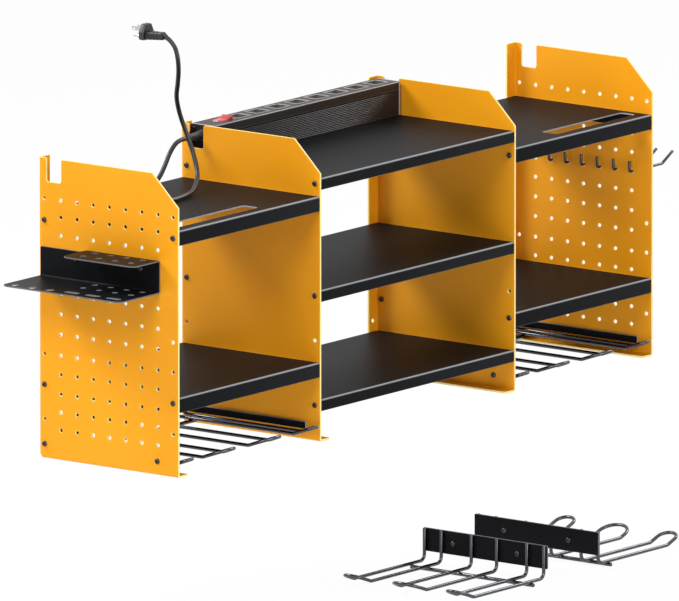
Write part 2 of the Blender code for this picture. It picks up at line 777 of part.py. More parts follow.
def bay_rack(prefix, west):
    """A rack between the panels of a side bay whose west panel face is at x = west."""
    half_sheet = BAY_RACK_SHEET / 2
    left = west + SEAT_GAP + half_sheet
    right = west + SIDE_BAY - SEAT_GAP - half_sheet
    back = -(PANEL_SHEET + SEAT_GAP + half_sheet)
    front = -DEPTH + BAY_ARM_FRONT
    path = [(left, front), (left, back), (right, back), (right, front)]
    arms = extruded(prefix + "_frame", [folded(path, BAY_RACK_SHEET, BAY_RACK_BEND)],
                    FLOOR_PLANE, BAY_ARM_LOW, BAY_ARM_LOW + BAY_ARM_HIGH)
    reach = BAY_RACK_BEND + BAY_RACK_SHEET
    plate = box(prefix + "_back_plate",
                (left + reach, back - half_sheet, BAY_ARM_LOW),
                (right - reach, back + half_sheet, BAY_ARM_LOW + BAY_PLATE_HIGH))
    combine(arms, plate, "UNION")
    finish(arms, BLACK)
    widths = (BAY_END_PIN, BAY_MID_PIN, BAY_MID_PIN, BAY_END_PIN)
    slot = (SIDE_BAY - 2 * BAY_END_MARGIN - sum(widths)) / (len(widths) - 1)
    pairs = leg_pairs(BAY_END_MARGIN, widths, slot)
    base = Vector((west, back - half_sheet, BAY_TINE_LEVEL))
    top = BAY_ARM_LOW + BAY_PLATE_HIGH - BAY_WIRE_TOP_MARGIN - BAY_TINE_LEVEL
    out = Vector((0, -1, 0))
    side = Vector((1, 0, 0))
    tines(prefix, base, out, side, pairs, top, BAY_TINE_STRAIGHT)
    cross_rod(prefix + "_rod", base, out, side, pairs)


def loose_rack(prefix, face, direction):
    """A spare rack whose plate has its pin side at x = face and its pins along direction."""
    out = Vector((direction, 0, 0))
    side = Vector((0, -1, 0))
    widths = (LOOSE_END_PIN, LOOSE_MID_PIN, LOOSE_END_PIN)
    pairs = leg_pairs(LOOSE_END_MARGIN, widths, LOOSE_SLOT)
    length = pairs[-1][1] + LOOSE_END_MARGIN
    level = GROUND + ROD_R + ROD_DROP
    low = level + LOOSE_TINE_DROP
    high = low + LOOSE_PLATE_HIGH
    near_end = -LOOSE_PLATE_FROM_WALL
    outline = rounded(rectangle(near_end - length, low, near_end, high), [LOOSE_CORNER] * 4, 1)
    middle = near_end - length / 2
    half_step = LOOSE_HOLE_STEPS * PEG_PITCH_DEEP / 2
    hole_z = (low + high) / 2 - LOOSE_HOLE_DROP
    holes = [circle(middle + sign * half_step, hole_z, PEG_HOLE) for sign in (-1, 1)]
    span = sorted((face, face - direction * LOOSE_SHEET))
    finish(extruded(prefix + "_plate", [outline] + holes, WEB_PLANE, *span), BLACK)
    base = Vector((face, near_end, level))
    top = LOOSE_TINE_DROP + LOOSE_PLATE_HIGH
    tines(prefix, base, out, side, pairs, top, LOOSE_TINE_STRAIGHT)
    cross_rod(prefix + "_rod", base, out, side, pairs)


bay_rack("rack_left", SIDE_WEST)
bay_rack("rack_right", -SIDE_EAST)
loose_rack("loose_rack_a", LOOSE_A_FACE, -1)
loose_rack("loose_rack_b", LOOSE_B_FACE, 1)


# Power strip

def ribbed_side(y, outward, low, high):
    """Points up one side of the housing, a ridge and a valley for each rib."""
    count = int((high - low) / RIB_PITCH)
    pitch = (high - low) / count
    points = [(y, low)]
    for rib in range(count):
        base = low + rib * pitch
        points.append((y - outward * RIB_DEEP, base + pitch / 4))
        points.append((y, base + pitch * 3 / 4))
    points.append((y, high))
    return points


def strip_housing():
    """The ribbed channel, open at the top and at both ends."""
    wall_y = -STRIP_FROM_WALL
    front_y = wall_y - STRIP_DEEP
    top = STRIP_TOP - STRIP_COVER_SIDE - SEAT_GAP
    inner = RIB_DEEP + STRIP_WALL
    front = ribbed_side(front_y, -1, STRIP_BOTTOM, top)
    back = ribbed_side(wall_y, 1, STRIP_BOTTOM, top)
    floor = STRIP_BOTTOM + STRIP_WALL
    channel = [(front_y + inner, top), (front_y + inner, floor),
               (wall_y - inner, floor), (wall_y - inner, top)]
    outline = front + channel + back[::-1]
    start = STRIP_LEFT + STRIP_CAP + SEAT_GAP
    end = STRIP_LEFT + STRIP_LONG - STRIP_CAP - SEAT_GAP
    finish(extruded("strip_housing", [outline], WEB_PLANE, start, end), CHARCOAL)


def outlet_places():
    return [STRIP_LEFT + OUTLET_FIRST + step * OUTLET_PITCH for step in range(OUTLETS)]


def strip_cover():
    """The lid, with a raised pad and three contact holes for each outlet."""
    wall_y = -STRIP_FROM_WALL
    low = STRIP_TOP - STRIP_COVER_SIDE
    front_y = wall_y - STRIP_DEEP
    outline = rounded(
        [(wall_y, low), (wall_y, STRIP_TOP), (front_y, STRIP_TOP), (front_y, low),
         (front_y + STRIP_WALL, low), (front_y + STRIP_WALL, COVER_UNDER),
         (wall_y - STRIP_WALL, COVER_UNDER), (wall_y - STRIP_WALL, low)],
        [0, STRIP_CORNER, STRIP_CORNER, 0, 0, 0, 0, 0], 2)
    start = STRIP_LEFT + STRIP_CAP + SEAT_GAP
    end = STRIP_LEFT + STRIP_LONG - STRIP_CAP - SEAT_GAP
    cover = extruded("strip_cover", [outline], WEB_PLANE, start, end)
    pads = []
    holes = []
    for place in outlet_places():
        pads.append(rectangle(place - OUTLET_PAD_LONG / 2, STRIP_MID_Y - OUTLET_PAD_WIDE / 2,
                              place + OUTLET_PAD_LONG / 2, STRIP_MID_Y + OUTLET_PAD_WIDE / 2))
        blade_x = place - EARTH_OFFSET / 2
        for sign in (-1, 1):
            y = STRIP_MID_Y + sign * BLADE_SPREAD / 2
            holes.append(rectangle(blade_x - BLADE_SLOT_LONG / 2, y - BLADE_SLOT_WIDE / 2,
                                   blade_x + BLADE_SLOT_LONG / 2, y + BLADE_SLOT_WIDE / 2))
        holes.append(circle(place + EARTH_OFFSET / 2, STRIP_MID_Y, EARTH_HOLE, 6))
    pad_base = STRIP_TOP - STRIP_COVER_TOP / 2
    combine(cover, extruded("strip_pads", pads, FLOOR_PLANE, pad_base,
                            STRIP_TOP + OUTLET_PAD_HIGH), "UNION")
    holes.append(rectangle(SWITCH_X - POCKET_HALF_LONG, STRIP_MID_Y - POCKET_HALF_WIDE,
                           SWITCH_X + POCKET_HALF_LONG, STRIP_MID_Y + POCKET_HALF_WIDE))
    cutter = extruded("strip_contact_holes", holes, FLOOR_PLANE, COVER_UNDER - CUT_OVERRUN,
                      STRIP_TOP + OUTLET_PAD_HIGH + CUT_OVERRUN)
    combine(cover, cutter, "DIFFERENCE")
    finish(cover, CHARCOAL)


def strip_cap(name, start, with_gland):
    wall_y = -STRIP_FROM_WALL
    outline = rounded(
        rectangle(wall_y - STRIP_DEEP, STRIP_BOTTOM, wall_y, STRIP_TOP),
        [0, 0, STRIP_CORNER, STRIP_CORNER], 2)
    outlines = [outline]
    if with_gland:
        hole = GLAND_NECK + 2 * GLAND_HOLE_GAP
        outlines.append(circle(-GLAND_FROM_WALL, STRIP_TOP - GLAND_DROP, hole, 12))
    finish(extruded(name, outlines, WEB_PLANE, start, start + STRIP_CAP), CHARCOAL)


def bus_bar(name, offset):
    """A spring channel that grips the blades, hung just under the lid."""
    y = STRIP_MID_Y + offset
    half = (BUS_WIDE - BUS_SHEET) / 2
    top = COVER_UNDER - SEAT_GAP
    low = top - BUS_HIGH + BUS_SHEET / 2
    path = [(y - half, top), (y - half, low), (y + half, low), (y + half, top)]
    start = SWITCH_X + POCKET_HALF_LONG + TUB_WALL + BUS_END_MARGIN
    end = STRIP_LEFT + STRIP_LONG - STRIP_CAP - BUS_END_MARGIN
    outline = folded(path, BUS_SHEET, BUS_BEND, 1)
    finish(extruded(name, [outline], WEB_PLANE, start, end), BRASS)


def switch_body():
    """The tub that holds the rocker's pin, open at the top."""
    half_long = POCKET_HALF_LONG + TUB_WALL
    half_wide = POCKET_HALF_WIDE + TUB_WALL
    top = COVER_UNDER - SEAT_GAP
    tub = box("strip_switch_body",
              (SWITCH_X - half_long, STRIP_MID_Y - half_wide, top - TUB_DEEP),
              (SWITCH_X + half_long, STRIP_MID_Y + half_wide, top))
    hollow = box("strip_switch_hollow",
                 (SWITCH_X - POCKET_HALF_LONG, STRIP_MID_Y - POCKET_HALF_WIDE,
                  top - TUB_DEEP + TUB_WALL),
                 (SWITCH_X + POCKET_HALF_LONG, STRIP_MID_Y + POCKET_HALF_WIDE,
                  top + CUT_OVERRUN))
    reach = half_wide + CUT_OVERRUN
    pin_hole = drum("strip_switch_pin_hole", ROCKER_PIN + 2 * SEAT_GAP,
                    ROCKER_PIN + 2 * SEAT_GAP, (SWITCH_X, STRIP_MID_Y - reach, PIVOT_Z),
                    (SWITCH_X, STRIP_MID_Y + reach, PIVOT_Z), 12)
    combine(tub, hollow, "DIFFERENCE")
    combine(tub, pin_hole, "DIFFERENCE")
    finish(tub, INSULATOR)


def rocker():
    """The rocker about its pin, at rest with its left end pressed in."""
    outline = [
        (-ROCKER_HALF_LONG, -ROCKER_SKIRT),
        (-ROCKER_HUB, -ROCKER_HUB),
        (ROCKER_HUB, -ROCKER_HUB),
        (ROCKER_HALF_LONG, -ROCKER_SKIRT),
        (ROCKER_HALF_LONG, ROCKER_END_HIGH),
        (0, ROCKER_MID_HIGH),
        (-ROCKER_HALF_LONG, ROCKER_END_HIGH),
    ]
    body = extruded("strip_rocker", [outline], FRONT_PLANE, -ROCKER_HALF_WIDE, ROCKER_HALF_WIDE)
    reach = POCKET_HALF_WIDE + TUB_WALL - SEAT_GAP
    pin = drum("strip_rocker_pin", ROCKER_PIN, ROCKER_PIN, (0, -reach, 0), (0, reach, 0), 8)
    seat = Matrix.Translation((SWITCH_X, STRIP_MID_Y, PIVOT_Z))
    tilt = Matrix.Rotation(-ROCKER_TILT, 4, "Y")
    body.matrix_world = seat @ tilt @ body.matrix_world
    pin.matrix_world = seat @ tilt @ pin.matrix_world
    combine(body, pin, "UNION")
    finish(body, RED)


def gland():
    """The strain relief: a neck through the end cap, a collar and a tapering sleeve."""
    profile = [
        (0, -GLAND_NECK_LONG), (GLAND_NECK / 2, -GLAND_NECK_LONG), (GLAND_NECK / 2, 0),
        (GLAND_COLLAR / 2, 0), (GLAND_COLLAR / 2, GLAND_COLLAR_LONG),
        (GLAND_WIDE / 2, GLAND_COLLAR_LONG), (GLAND_TIP / 2, GLAND_LONG), (0, GLAND_LONG),
    ]
    mesh = bpy.data.meshes.new("strip_gland")
    corners = [(radius, 0, -along) for radius, along in profile]
    mesh.from_pydata(corners, [(i, i + 1) for i in range(len(corners) - 1)], [])
    turned = bpy.data.objects.new("strip_gland", mesh)
    screw = turned.modifiers.new("Turned", "SCREW")
    screw.steps = 12
    screw.render_steps = 12
    screw.use_merge_vertices = True
    screw.merge_threshold = 0.00001
    face = STRIP_LEFT - SEAT_GAP
    place = Matrix.Translation((face, -GLAND_FROM_WALL, STRIP_TOP - GLAND_DROP))
    turned.matrix_world = place @ Matrix.Rotation(math.pi / 2, 4, "Y")
    finish(turned, RUBBER)


strip_housing()
strip_cover()
strip_cap("strip_cap_left", STRIP_LEFT, True)
strip_cap("strip_cap_right", STRIP_LEFT + STRIP_LONG - STRIP_CAP, False)
bus_bar("strip_bus_live", -BLADE_SPREAD / 2)
bus_bar("strip_bus_neutral", BLADE_SPREAD / 2)
bus_bar("strip_bus_earth", 0)
switch_body()
rocker()
gland()


# Cord, coil and plug

def smooth_curve(route, fine):
    """Many points on a centripetal Catmull-Rom curve through the route's points."""
    points = [Vector(p) for p in route]
    points = [2 * points[0] - points[1]] + points + [2 * points[-1] - points[-2]]
    curve = []
    for p0, p1, p2, p3 in zip(points, points[1:], points[2:], points[3:]):
        t1 = math.sqrt((p1 - p0).length)
        t2 = t1 + math.sqrt((p2 - p1).length)
        t3 = t2 + math.sqrt((p3 - p2).length)
        for step in range(fine):
            t = t1 + (t2 - t1) * step / fine
            a1 = p0 * ((t1 - t) / t1) + p1 * (t / t1)
            a2 = p1 * ((t2 - t) / (t2 - t1)) + p2 * ((t - t1) / (t2 - t1))
            a3 = p2 * ((t3 - t) / (t3 - t2)) + p3 * ((t - t2) / (t3 - t2))
            b1 = a1 * ((t2 - t) / t2) + a2 * (t / t2)
            b2 = a2 * ((t3 - t) / (t3 - t1)) + a3 * ((t - t1) / (t3 - t1))
            curve.append(b1 * ((t2 - t) / (t2 - t1)) + b2 * ((t - t1) / (t2 - t1)))
    curve.append(points[-2])
    return curve


def length_of(points):
    return sum((b - a).length for a, b in zip(points, points[1:]))


def evenly(points, spacing):
    """Points about this far apart along the line, its two ends among them."""
    total = length_of(points)
    count = max(2, round(total / spacing))
    marks = [total * index / count for index in range(1, count)]
    chosen = [points[0]]
    travelled = 0
    for a, b in zip(points, points[1:]):
        step = (b - a).length
        while marks and marks[0] <= travelled + step:
            chosen.append(a.lerp(b, (marks.pop(0) - travelled) / step))
        travelled += step
    return chosen + [points[-1]]


def cord_run(route):
    """A free run of cord: straight in its first and last pieces, a smooth curve between."""
    fine = 24
    route = [CORD_CORNER + Vector(point) for point in route]
    curve = smooth_curve(route, fine)
    ends = route[0], route[-1]
    return [ends[0]] + evenly(curve[fine:-fine], CORD_STEP) + [ends[1]]


def coil_points():
    """Two layers of loops: in along the lower one, up at the middle, out along the upper."""
    total = round(COIL_TURNS * COIL_LOOP_POINTS)
    middle = total / 2
    climb = COIL_LOOP_POINTS / 4
    points = []
    for index in range(total + 1):
        angle = math.pi / 2 + math.tau * index / COIL_LOOP_POINTS
        inward = 1 - abs(index - middle) / middle
        radius = COIL_OUTER - (COIL_OUTER - COIL_INNER) * inward
        rise = min(max((1 + (index - middle) / climb) / 2, 0), 1)
        height = SIDE_TOP_DECK + SEAT_GAP + CORD / 2 + COIL_LIFT * rise
        points.append(Vector((COIL_X + radius * math.cos(angle),
                              COIL_Y + radius * math.sin(angle), height)))
    lead = Vector((CORD, 0, 0))
    return [points[0] + lead] + points + [points[-1] + lead]


def least_gap(points, diameter, apart):
    """The smallest distance between turns of one tube, measured between its points."""
    middles = [(a + b) / 2 for a, b in zip(points, points[1:])]
    least = min((a - b).length for i, a in enumerate(middles) for b in middles[i + apart:])
    return least - diameter


def grip_section(y, wide, low, high):
    """One section of the plug's grip at y, a rounded rectangle about the plug's middle."""
    flat = rounded(rectangle(PLUG_X - wide / 2, PLUG_Z - low, PLUG_X + wide / 2, PLUG_Z + high),
                   [PLUG_GRIP_CORNER] * 4)
    return [(x, y, z) for x, z in flat]


def lofted(name, first, last):
    """A solid between two sections that have as many points."""
    mesh = bpy.data.meshes.new(name)
    count = len(first)
    sides = [(i, (i + 1) % count, count + (i + 1) % count, count + i) for i in range(count)]
    caps = [tuple(range(count))[::-1], tuple(range(count, 2 * count))]
    mesh.from_pydata(first + last, [], sides + caps)
    shape = bmesh.new()
    shape.from_mesh(mesh)
    bmesh.ops.recalc_face_normals(shape, faces=shape.faces)
    shape.to_mesh(mesh)
    shape.free()
    return bpy.data.objects.new(name, mesh)


def plug():
    """The moulded plug: a base with a narrow top, a tapering grip and a tilted tail."""
    face = -PLUG_FACE_FROM_WALL
    half_base = PLUG_BASE_WIDE / 2
    half_top = PLUG_BASE_TOP / 2
    low = PLUG_Z - PLUG_BASE_HIGH / 2
    high = PLUG_Z + PLUG_BASE_HIGH / 2
    corners = [(PLUG_X - half_base, low), (PLUG_X + half_base, low),
               (PLUG_X + half_base, PLUG_Z), (PLUG_X + half_top, high),
               (PLUG_X - half_top, high), (PLUG_X - half_base, PLUG_Z)]
    outline = rounded(corners, [PLUG_BASE_CORNER] * len(corners), 2)
    base = extruded("plug_body", [outline], FRONT_PLANE, face - PLUG_BASE_THICK, face)
    grip = lofted(
        "plug_grip",
        grip_section(face - PLUG_BASE_THICK / 2, PLUG_GRIP_WIDE, PLUG_GRIP_LOW, PLUG_GRIP_HIGH),
        grip_section(face - PLUG_GRIP_LONG, PLUG_GRIP_END_WIDE, PLUG_GRIP_END_LOW,
                     PLUG_GRIP_END_HIGH))
    tail_along = Vector((0, -math.cos(PLUG_TAIL_TILT), -math.sin(PLUG_TAIL_TILT)))
    tail_end = CORD_END - tail_along * SEAT_GAP
    tail = drum("plug_tail", PLUG_TAIL, CORD, tail_end - tail_along * PLUG_TAIL_LONG, tail_end, 12)
    combine(base, grip, "UNION")
    combine(base, tail, "UNION")
    finish(base, RUBBER)


def plug_pins():
    start = -PLUG_FACE_FROM_WALL + SEAT_GAP
    for name, sign in (("plug_pin_live", -1), ("plug_pin_neutral", 1)):
        x = PLUG_X + sign * BLADE_SPREAD / 2
        z = PLUG_Z + PIN_RISE
        finish(box(name, (x - PIN_THICK / 2, start, z - PIN_WIDE / 2),
                   (x + PIN_THICK / 2, start + PIN_LONG, z + PIN_WIDE / 2)), PLATED)
    z = PLUG_Z - EARTH_PIN_DROP
    finish(drum("plug_pin_earth", EARTH_PIN, EARTH_PIN, (PLUG_X, start, z),
                (PLUG_X, start + EARTH_PIN_LONG, z), 8), PLATED)


STRIP_RUN = cord_run(STRIP_RUN_ROUTE)
WALL_RUN = cord_run(WALL_RUN_ROUTE)
COIL = coil_points()
tube("cord_strip_run", STRIP_RUN, CORD, 2, RUBBER)
tube("cord_wall_run", WALL_RUN, CORD, 2, RUBBER)
tube("cord_coil", COIL, CORD, 1, RUBBER)
plug()
plug_pins()
CORD_LENGTH = length_of(STRIP_RUN) + length_of(COIL) + length_of(WALL_RUN)
COIL_GAP = least_gap(COIL, CORD, COIL_LOOP_POINTS // 2)
print(f"cord {CORD_LENGTH:.3f} m, coil's least gap {COIL_GAP * 1000:.2f} mm")


# Hooks on the right end panel

def hook(name, deep):
    """A bent wire through a peg hole, its foot inside and its tip turned up outside."""
    row = peg_rows()[HOOK_ROW]
    foot_x = HALF_WIDTH - PANEL_SHEET - HOOK_INSIDE
    points = [(foot_x, -deep, row + HOOK_INSIDE_RISE)]
    bend_steps = 3
    for step in range(bend_steps + 1):
        angle = math.pi / 2 * step / bend_steps
        points.append((foot_x + HOOK_BEND * (1 - math.cos(angle)), -deep,
                       row + HOOK_BEND * (1 - math.sin(angle))))
    tip = Vector((HALF_WIDTH + HOOK_REACH, -deep, row + HOOK_TIP_RISE))
    knee = Vector((HALF_WIDTH + HOOK_STRAIGHT, -deep, row))
    before = knee - Vector((HOOK_BEND, 0, 0))
    after = knee + (tip - knee).normalized() * HOOK_BEND
    middle = (before + 2 * knee + after) / 4
    points += [before, middle, after, tip]
    tube(name, points, HOOK_WIRE, 2, WIRE)


for number, column in enumerate(peg_columns()[-HOOKS:], start=1):
    hook(f"hook_{number}", column)


# Tool holder on the left end panel

def holder_holes():
    """Centres of the driver holes, the same in both plates, as depth out and distance along."""
    first = HOLDER_TOP_FROM_WALL + HOLDER_HOLE_FROM_TOP_END
    return [(share * HOLDER_TOP_DEEP, first + step * HOLDER_HOLE_PITCH)
            for share in HOLDER_ROW_SHARES for step in range(HOLDER_HOLES)]


def tool_holder():
    """A folded channel open to the left: long lower plate, shorter upper plate."""
    face = -HALF_WIDTH - SEAT_GAP
    half = HOLDER_SHEET / 2
    back_x = face - half
    low_z = HOLDER_LOW + half
    top_z = HOLDER_LOW + HOLDER_HIGH - half
    near_end = -HOLDER_FROM_WALL
    far = near_end - HOLDER_LONG
    top_near = -HOLDER_TOP_FROM_WALL
    lap = HOLDER_BEND + 2 * HOLDER_SHEET
    round_holes = [circle(face - out, -along, HOLDER_HOLE) for out, along in holder_holes()]
    wide_holes = [circle(face - HOLDER_LOW_DEEP + HOLDER_WIDE_FROM_EDGE,
                         near_end - HOLDER_WIDE_FROM_END - step * HOLDER_WIDE_PITCH,
                         HOLDER_WIDE_HOLE, 10) for step in range(HOLDER_WIDE_HOLES)]
    slots = []
    slot_x = face - HOLDER_LOW_DEEP + HOLDER_SLOT_FROM_EDGE
    slot_near = top_near - HOLDER_SLOT_FROM_TOP_END - HOLDER_SLOT_LONG / 2
    for step in range(HOLDER_SLOTS):
        y = slot_near - step * (HOLDER_SLOT_LONG + HOLDER_SLOT_BRIDGE)
        slots.append(rectangle(slot_x - HOLDER_SLOT_WIDE / 2, y - HOLDER_SLOT_LONG / 2,
                               slot_x + HOLDER_SLOT_WIDE / 2, y + HOLDER_SLOT_LONG / 2))
    bend = HOLDER_BEND + half
    fold_x = back_x - bend
    low_outline = rounded(
        [(face - HOLDER_LOW_DEEP, far), (fold_x, far), (fold_x, top_near), (fold_x, near_end),
         (face - HOLDER_LOW_DEEP, near_end)], [HOLDER_CORNER, 0, 0, 0, HOLDER_CORNER])
    top_outline = rounded(rectangle(face - HOLDER_TOP_DEEP, far, fold_x, top_near),
                          [HOLDER_CORNER, 0, 0, HOLDER_CORNER])
    shape = flat_sheet([low_outline] + round_holes + wide_holes + slots, FLOOR_PLANE, low_z)
    edges = border(shape, lambda co: near(co.x, fold_x))
    edges = fold_edges(shape, edges, (fold_x, 0, low_z + bend), (0, 1, 0), -math.pi / 2)
    edges = extend_edges(shape, edges, Vector((0, 0, top_z - low_z - 2 * bend)))
    crest = [edge for edge in edges if all(v.co.y < top_near + half for v in edge.verts)
             and not near(edge.verts[0].co.y, edge.verts[1].co.y)]
    fold_edges(shape, crest, (fold_x, 0, top_z - bend), (0, 1, 0), -math.pi / 2)
    add_sheet(shape, flat_sheet([top_outline] + round_holes, FLOOR_PLANE, top_z))
    return finish(sheet_metal("tool_holder", shape, HOLDER_SHEET), BLACK)


tool_holder()
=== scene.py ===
# %% [markdown]
# # A wall rack for power tools
# Four folded orange panels carry seven black trays, two wire drill racks, a tool
# holder, six hooks and a power strip whose cord runs up to its plug. This lesson loads
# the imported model, sets the camera, and then makes each surface again with a finer
# shape and the finish of the real material.

# %% Load the frame
import math

import bmesh
import bpy
import numpy as np
from mathutils import Matrix, Vector
from mathutils.geometry import delaunay_2d_cdt


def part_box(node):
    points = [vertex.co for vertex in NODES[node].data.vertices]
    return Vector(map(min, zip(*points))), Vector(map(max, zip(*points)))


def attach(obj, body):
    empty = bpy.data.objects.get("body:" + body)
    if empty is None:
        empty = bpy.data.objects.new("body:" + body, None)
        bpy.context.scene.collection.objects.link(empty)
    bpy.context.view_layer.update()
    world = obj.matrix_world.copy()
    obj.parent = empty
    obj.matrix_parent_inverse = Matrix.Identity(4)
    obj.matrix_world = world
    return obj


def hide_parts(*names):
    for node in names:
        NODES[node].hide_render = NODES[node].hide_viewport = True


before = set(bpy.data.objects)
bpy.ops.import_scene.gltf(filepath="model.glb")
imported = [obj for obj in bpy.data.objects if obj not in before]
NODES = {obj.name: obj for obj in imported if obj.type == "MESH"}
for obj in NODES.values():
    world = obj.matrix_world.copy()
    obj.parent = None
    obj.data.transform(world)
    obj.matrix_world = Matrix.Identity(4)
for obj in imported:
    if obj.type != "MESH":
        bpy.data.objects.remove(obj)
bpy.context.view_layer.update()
MM = 0.001


def box(name):
    """The low and the high corner of a solid, in millimetres."""
    return [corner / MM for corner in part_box(name)]


print("nodes:", len(NODES))

# %% [markdown]
# ## Camera
# The photograph is nearly a parallel view, as from far away: edges that run back along
# the panels stay parallel in it. A very long lens at a great distance gives nearly the
# same drawing. The camera's right, up and back directions come from its azimuth and
# elevation, and measured offsets from the rack's left back corner give its aim, which
# lies near the middle of the rack.

# %% Camera
IMAGE_WIDTH_PX = 679
MM_PER_PX = 1.5
CAMERA_AZIMUTH = math.radians(-52.6)
CAMERA_ELEVATION = math.radians(11.1)
CENTRE_RIGHT_MM = 446.6
CENTRE_UP_MM = 233.0
CENTRE_BACK_MM = -350
LENS_MM = 1400
SENSOR_MM = 36

panel_low, panel_high = box("panel_left_end")
HALF_WIDTH = -panel_low.x
DEPTH = -panel_low.y
HEIGHT = panel_high.z


def make_camera():
    """Place a level camera so far off that a pixel at its aim is as wide as MM_PER_PX says."""
    right = Vector((math.cos(CAMERA_AZIMUTH), math.sin(CAMERA_AZIMUTH), 0))
    back = Vector((math.sin(CAMERA_AZIMUTH) * math.cos(CAMERA_ELEVATION),
                   -math.cos(CAMERA_AZIMUTH) * math.cos(CAMERA_ELEVATION), math.sin(CAMERA_ELEVATION)))
    up = back.cross(right)
    offset = right * CENTRE_RIGHT_MM + up * CENTRE_UP_MM + back * CENTRE_BACK_MM
    target = (Vector((-HALF_WIDTH, 0, 0)) + offset) * MM
    distance = IMAGE_WIDTH_PX * MM_PER_PX * MM * LENS_MM / SENSOR_MM
    data = bpy.data.cameras.new("camera")
    data.lens = LENS_MM
    data.sensor_width = SENSOR_MM
    data.clip_end = 2 * distance
    camera = bpy.data.objects.new("camera", data)
    bpy.context.scene.collection.objects.link(camera)
    turn = Matrix((right, up, back)).transposed().to_4x4()
    camera.matrix_world = Matrix.Translation(target + back * distance) @ turn
    bpy.context.scene.camera = camera
    return distance


print("camera distance:", round(make_camera(), 2), "m")

# %% [markdown]
# ## Surfaces from arrays
# Every new piece is a set of points worked out as arrays. A grid of two parameters
# covers tubes, turned shapes and lofts: one parameter runs along the piece, the other
# round it. Where a tube or a turned shape ends, its rings shrink to a point, which is
# welded later, so that nothing stays open. All shapes are drawn in millimetres.

# %% Grids, tubes and turned shapes


def grid_faces(rows, columns):
    """Quads of a grid of points, rows by columns, closed across the columns."""
    row, column = np.meshgrid(np.arange(rows - 1), np.arange(columns), indexing="ij")
    after = (column + 1) % columns
    quads = np.stack([row * columns + column, row * columns + after,
                      (row + 1) * columns + after, (row + 1) * columns + column], -1)
    return quads.reshape(-1, 4)


def grid_piece(points):
    """A part, which is its points and its faces, from a grid of points."""
    return points.reshape(-1, 3), grid_faces(*points.shape[:2]).tolist()


def unit(vector):
    return vector / np.linalg.norm(vector, axis=-1, keepdims=True)


def angles_round(sides):
    """Equal steps of angle once round, without the last."""
    return np.linspace(0, math.tau, sides, endpoint=False)


def path_frames(path):
    """Unit tangents and two unit normals along a path, turned as little as possible."""
    tangents = unit(np.gradient(path, axis=0))
    normal = np.array([0, 0, 1.0]) if abs(tangents[0, 2]) < 0.9 else np.array([0, 1.0, 0])
    normals = []
    for tangent in tangents:
        normal = unit(normal - tangent * normal.dot(tangent))
        normals.append(normal)
    normals = np.array(normals)
    return tangents, normals, np.cross(tangents, normals)


def tube(path, radius, sides=14, dome=1.0):
    """A round tube: point (i, a) = path i + r (n cos a + b sin a). Each end is a quarter
    circle of rings, dome radii long, inside the path's own length."""
    path = np.array(path, float)
    reach = radius * dome
    path[0] += unit(path[1] - path[0]) * reach
    path[-1] += unit(path[-2] - path[-1]) * reach
    tangents, normals, others = path_frames(path)
    angles = angles_round(sides)
    spokes = normals[:, None] * np.cos(angles)[:, None] + others[:, None] * np.sin(angles)[:, None]
    cap = np.linspace(0, math.pi / 2, 5)[1:]
    ends = []
    for index, way in ((0, -1), (-1, 1)):
        centres = path[index] + way * tangents[index] * (reach * np.sin(cap))[:, None]
        ends.append(centres[:, None] + spokes[index] * (radius * np.cos(cap))[:, None, None])
    body = path[:, None] + spokes * radius
    return grid_piece(np.concatenate([ends[0][::-1], body, ends[1]]))


def turned(radius, along, base, axis, sides=24):
    """A shape of revolution about an axis that isn't upright: point (i, a) = base + axis * along i
    + r i (u cos a + v sin a)."""
    axis = unit(np.asarray(axis, float))
    u = unit(np.cross((0, 0, 1), axis))
    v = np.cross(axis, u)
    angles = angles_round(sides)
    spokes = np.cos(angles)[:, None] * u + np.sin(angles)[:, None] * v
    radius = np.asarray(radius, float)
    radius = radius[:, None] if radius.ndim == 1 else radius
    along = np.asarray(along, float)[:, None, None]
    return grid_piece(np.asarray(base) + along * axis + radius[..., None] * spokes)


def softened(corners, radii, segments=6):
    """The line through the corners, in the plane or in space, each one replaced by an arc of its
    radius: centre + (first sin t(1 - s) + last sin ts) / sin t, for the turn t and s from 0 to 1."""
    corners = np.asarray(corners, float)
    share = np.linspace(0, 1, segments + 1)[:, None]
    points = []
    for index, (corner, radius) in enumerate(zip(corners, radii)):
        if not radius:
            points.append(corner[None])
            continue
        a = unit(corners[index - 1] - corner)
        b = unit(corners[(index + 1) % len(corners)] - corner)
        half = math.acos(np.clip(a @ b, -1, 1)) / 2
        centre = corner + unit(a + b) * radius / math.sin(half)
        first = corner + a * radius / math.tan(half) - centre
        last = corner + b * radius / math.tan(half) - centre
        turn = math.pi - 2 * half
        swing = first * np.sin(turn * (1 - share)) + last * np.sin(turn * share)
        points.append(centre + swing / math.sin(turn))
    return np.concatenate(points)


# %% [markdown]
# Sheet metal is the main stuff of this rack. A plate is drawn flat, as the cutter sees
# it: one border and any number of holes. Each outline carries a small profile, two
# quarter rounds joined by the sheet's thickness, so that every rim is eased and catches
# the light. Between the rims the plate is filled with triangles that keep to the
# outlines and to the crease lines, and those whose corners all lie on one hole are left
# out. Then the flat plate is bent: each bend rolls all that lies beyond its start round
# a centre, just as a press brake does.

# %% Plates with eased rims, and bends
# Each matrix lays a flat drawing in the plane that it is named after.
YZ = np.array([[0, 1, 0], [0, 0, 1], [1, 0, 0]], float)
XZ = np.array([[1, 0, 0], [0, 0, 1], [0, -1, 0]], float)
FLAT_STARTS = 1.6
TRAY_EASE, TRAY_CORNER, LEAST_RADIUS = 0.4, 1.5, 0.2


def circle(u, v, radius, sides=20):
    """Points of a circle: (u + r cos a, v + r sin a)."""
    angles = angles_round(sides)
    return np.c_[u + radius * np.cos(angles), v + radius * np.sin(angles)]


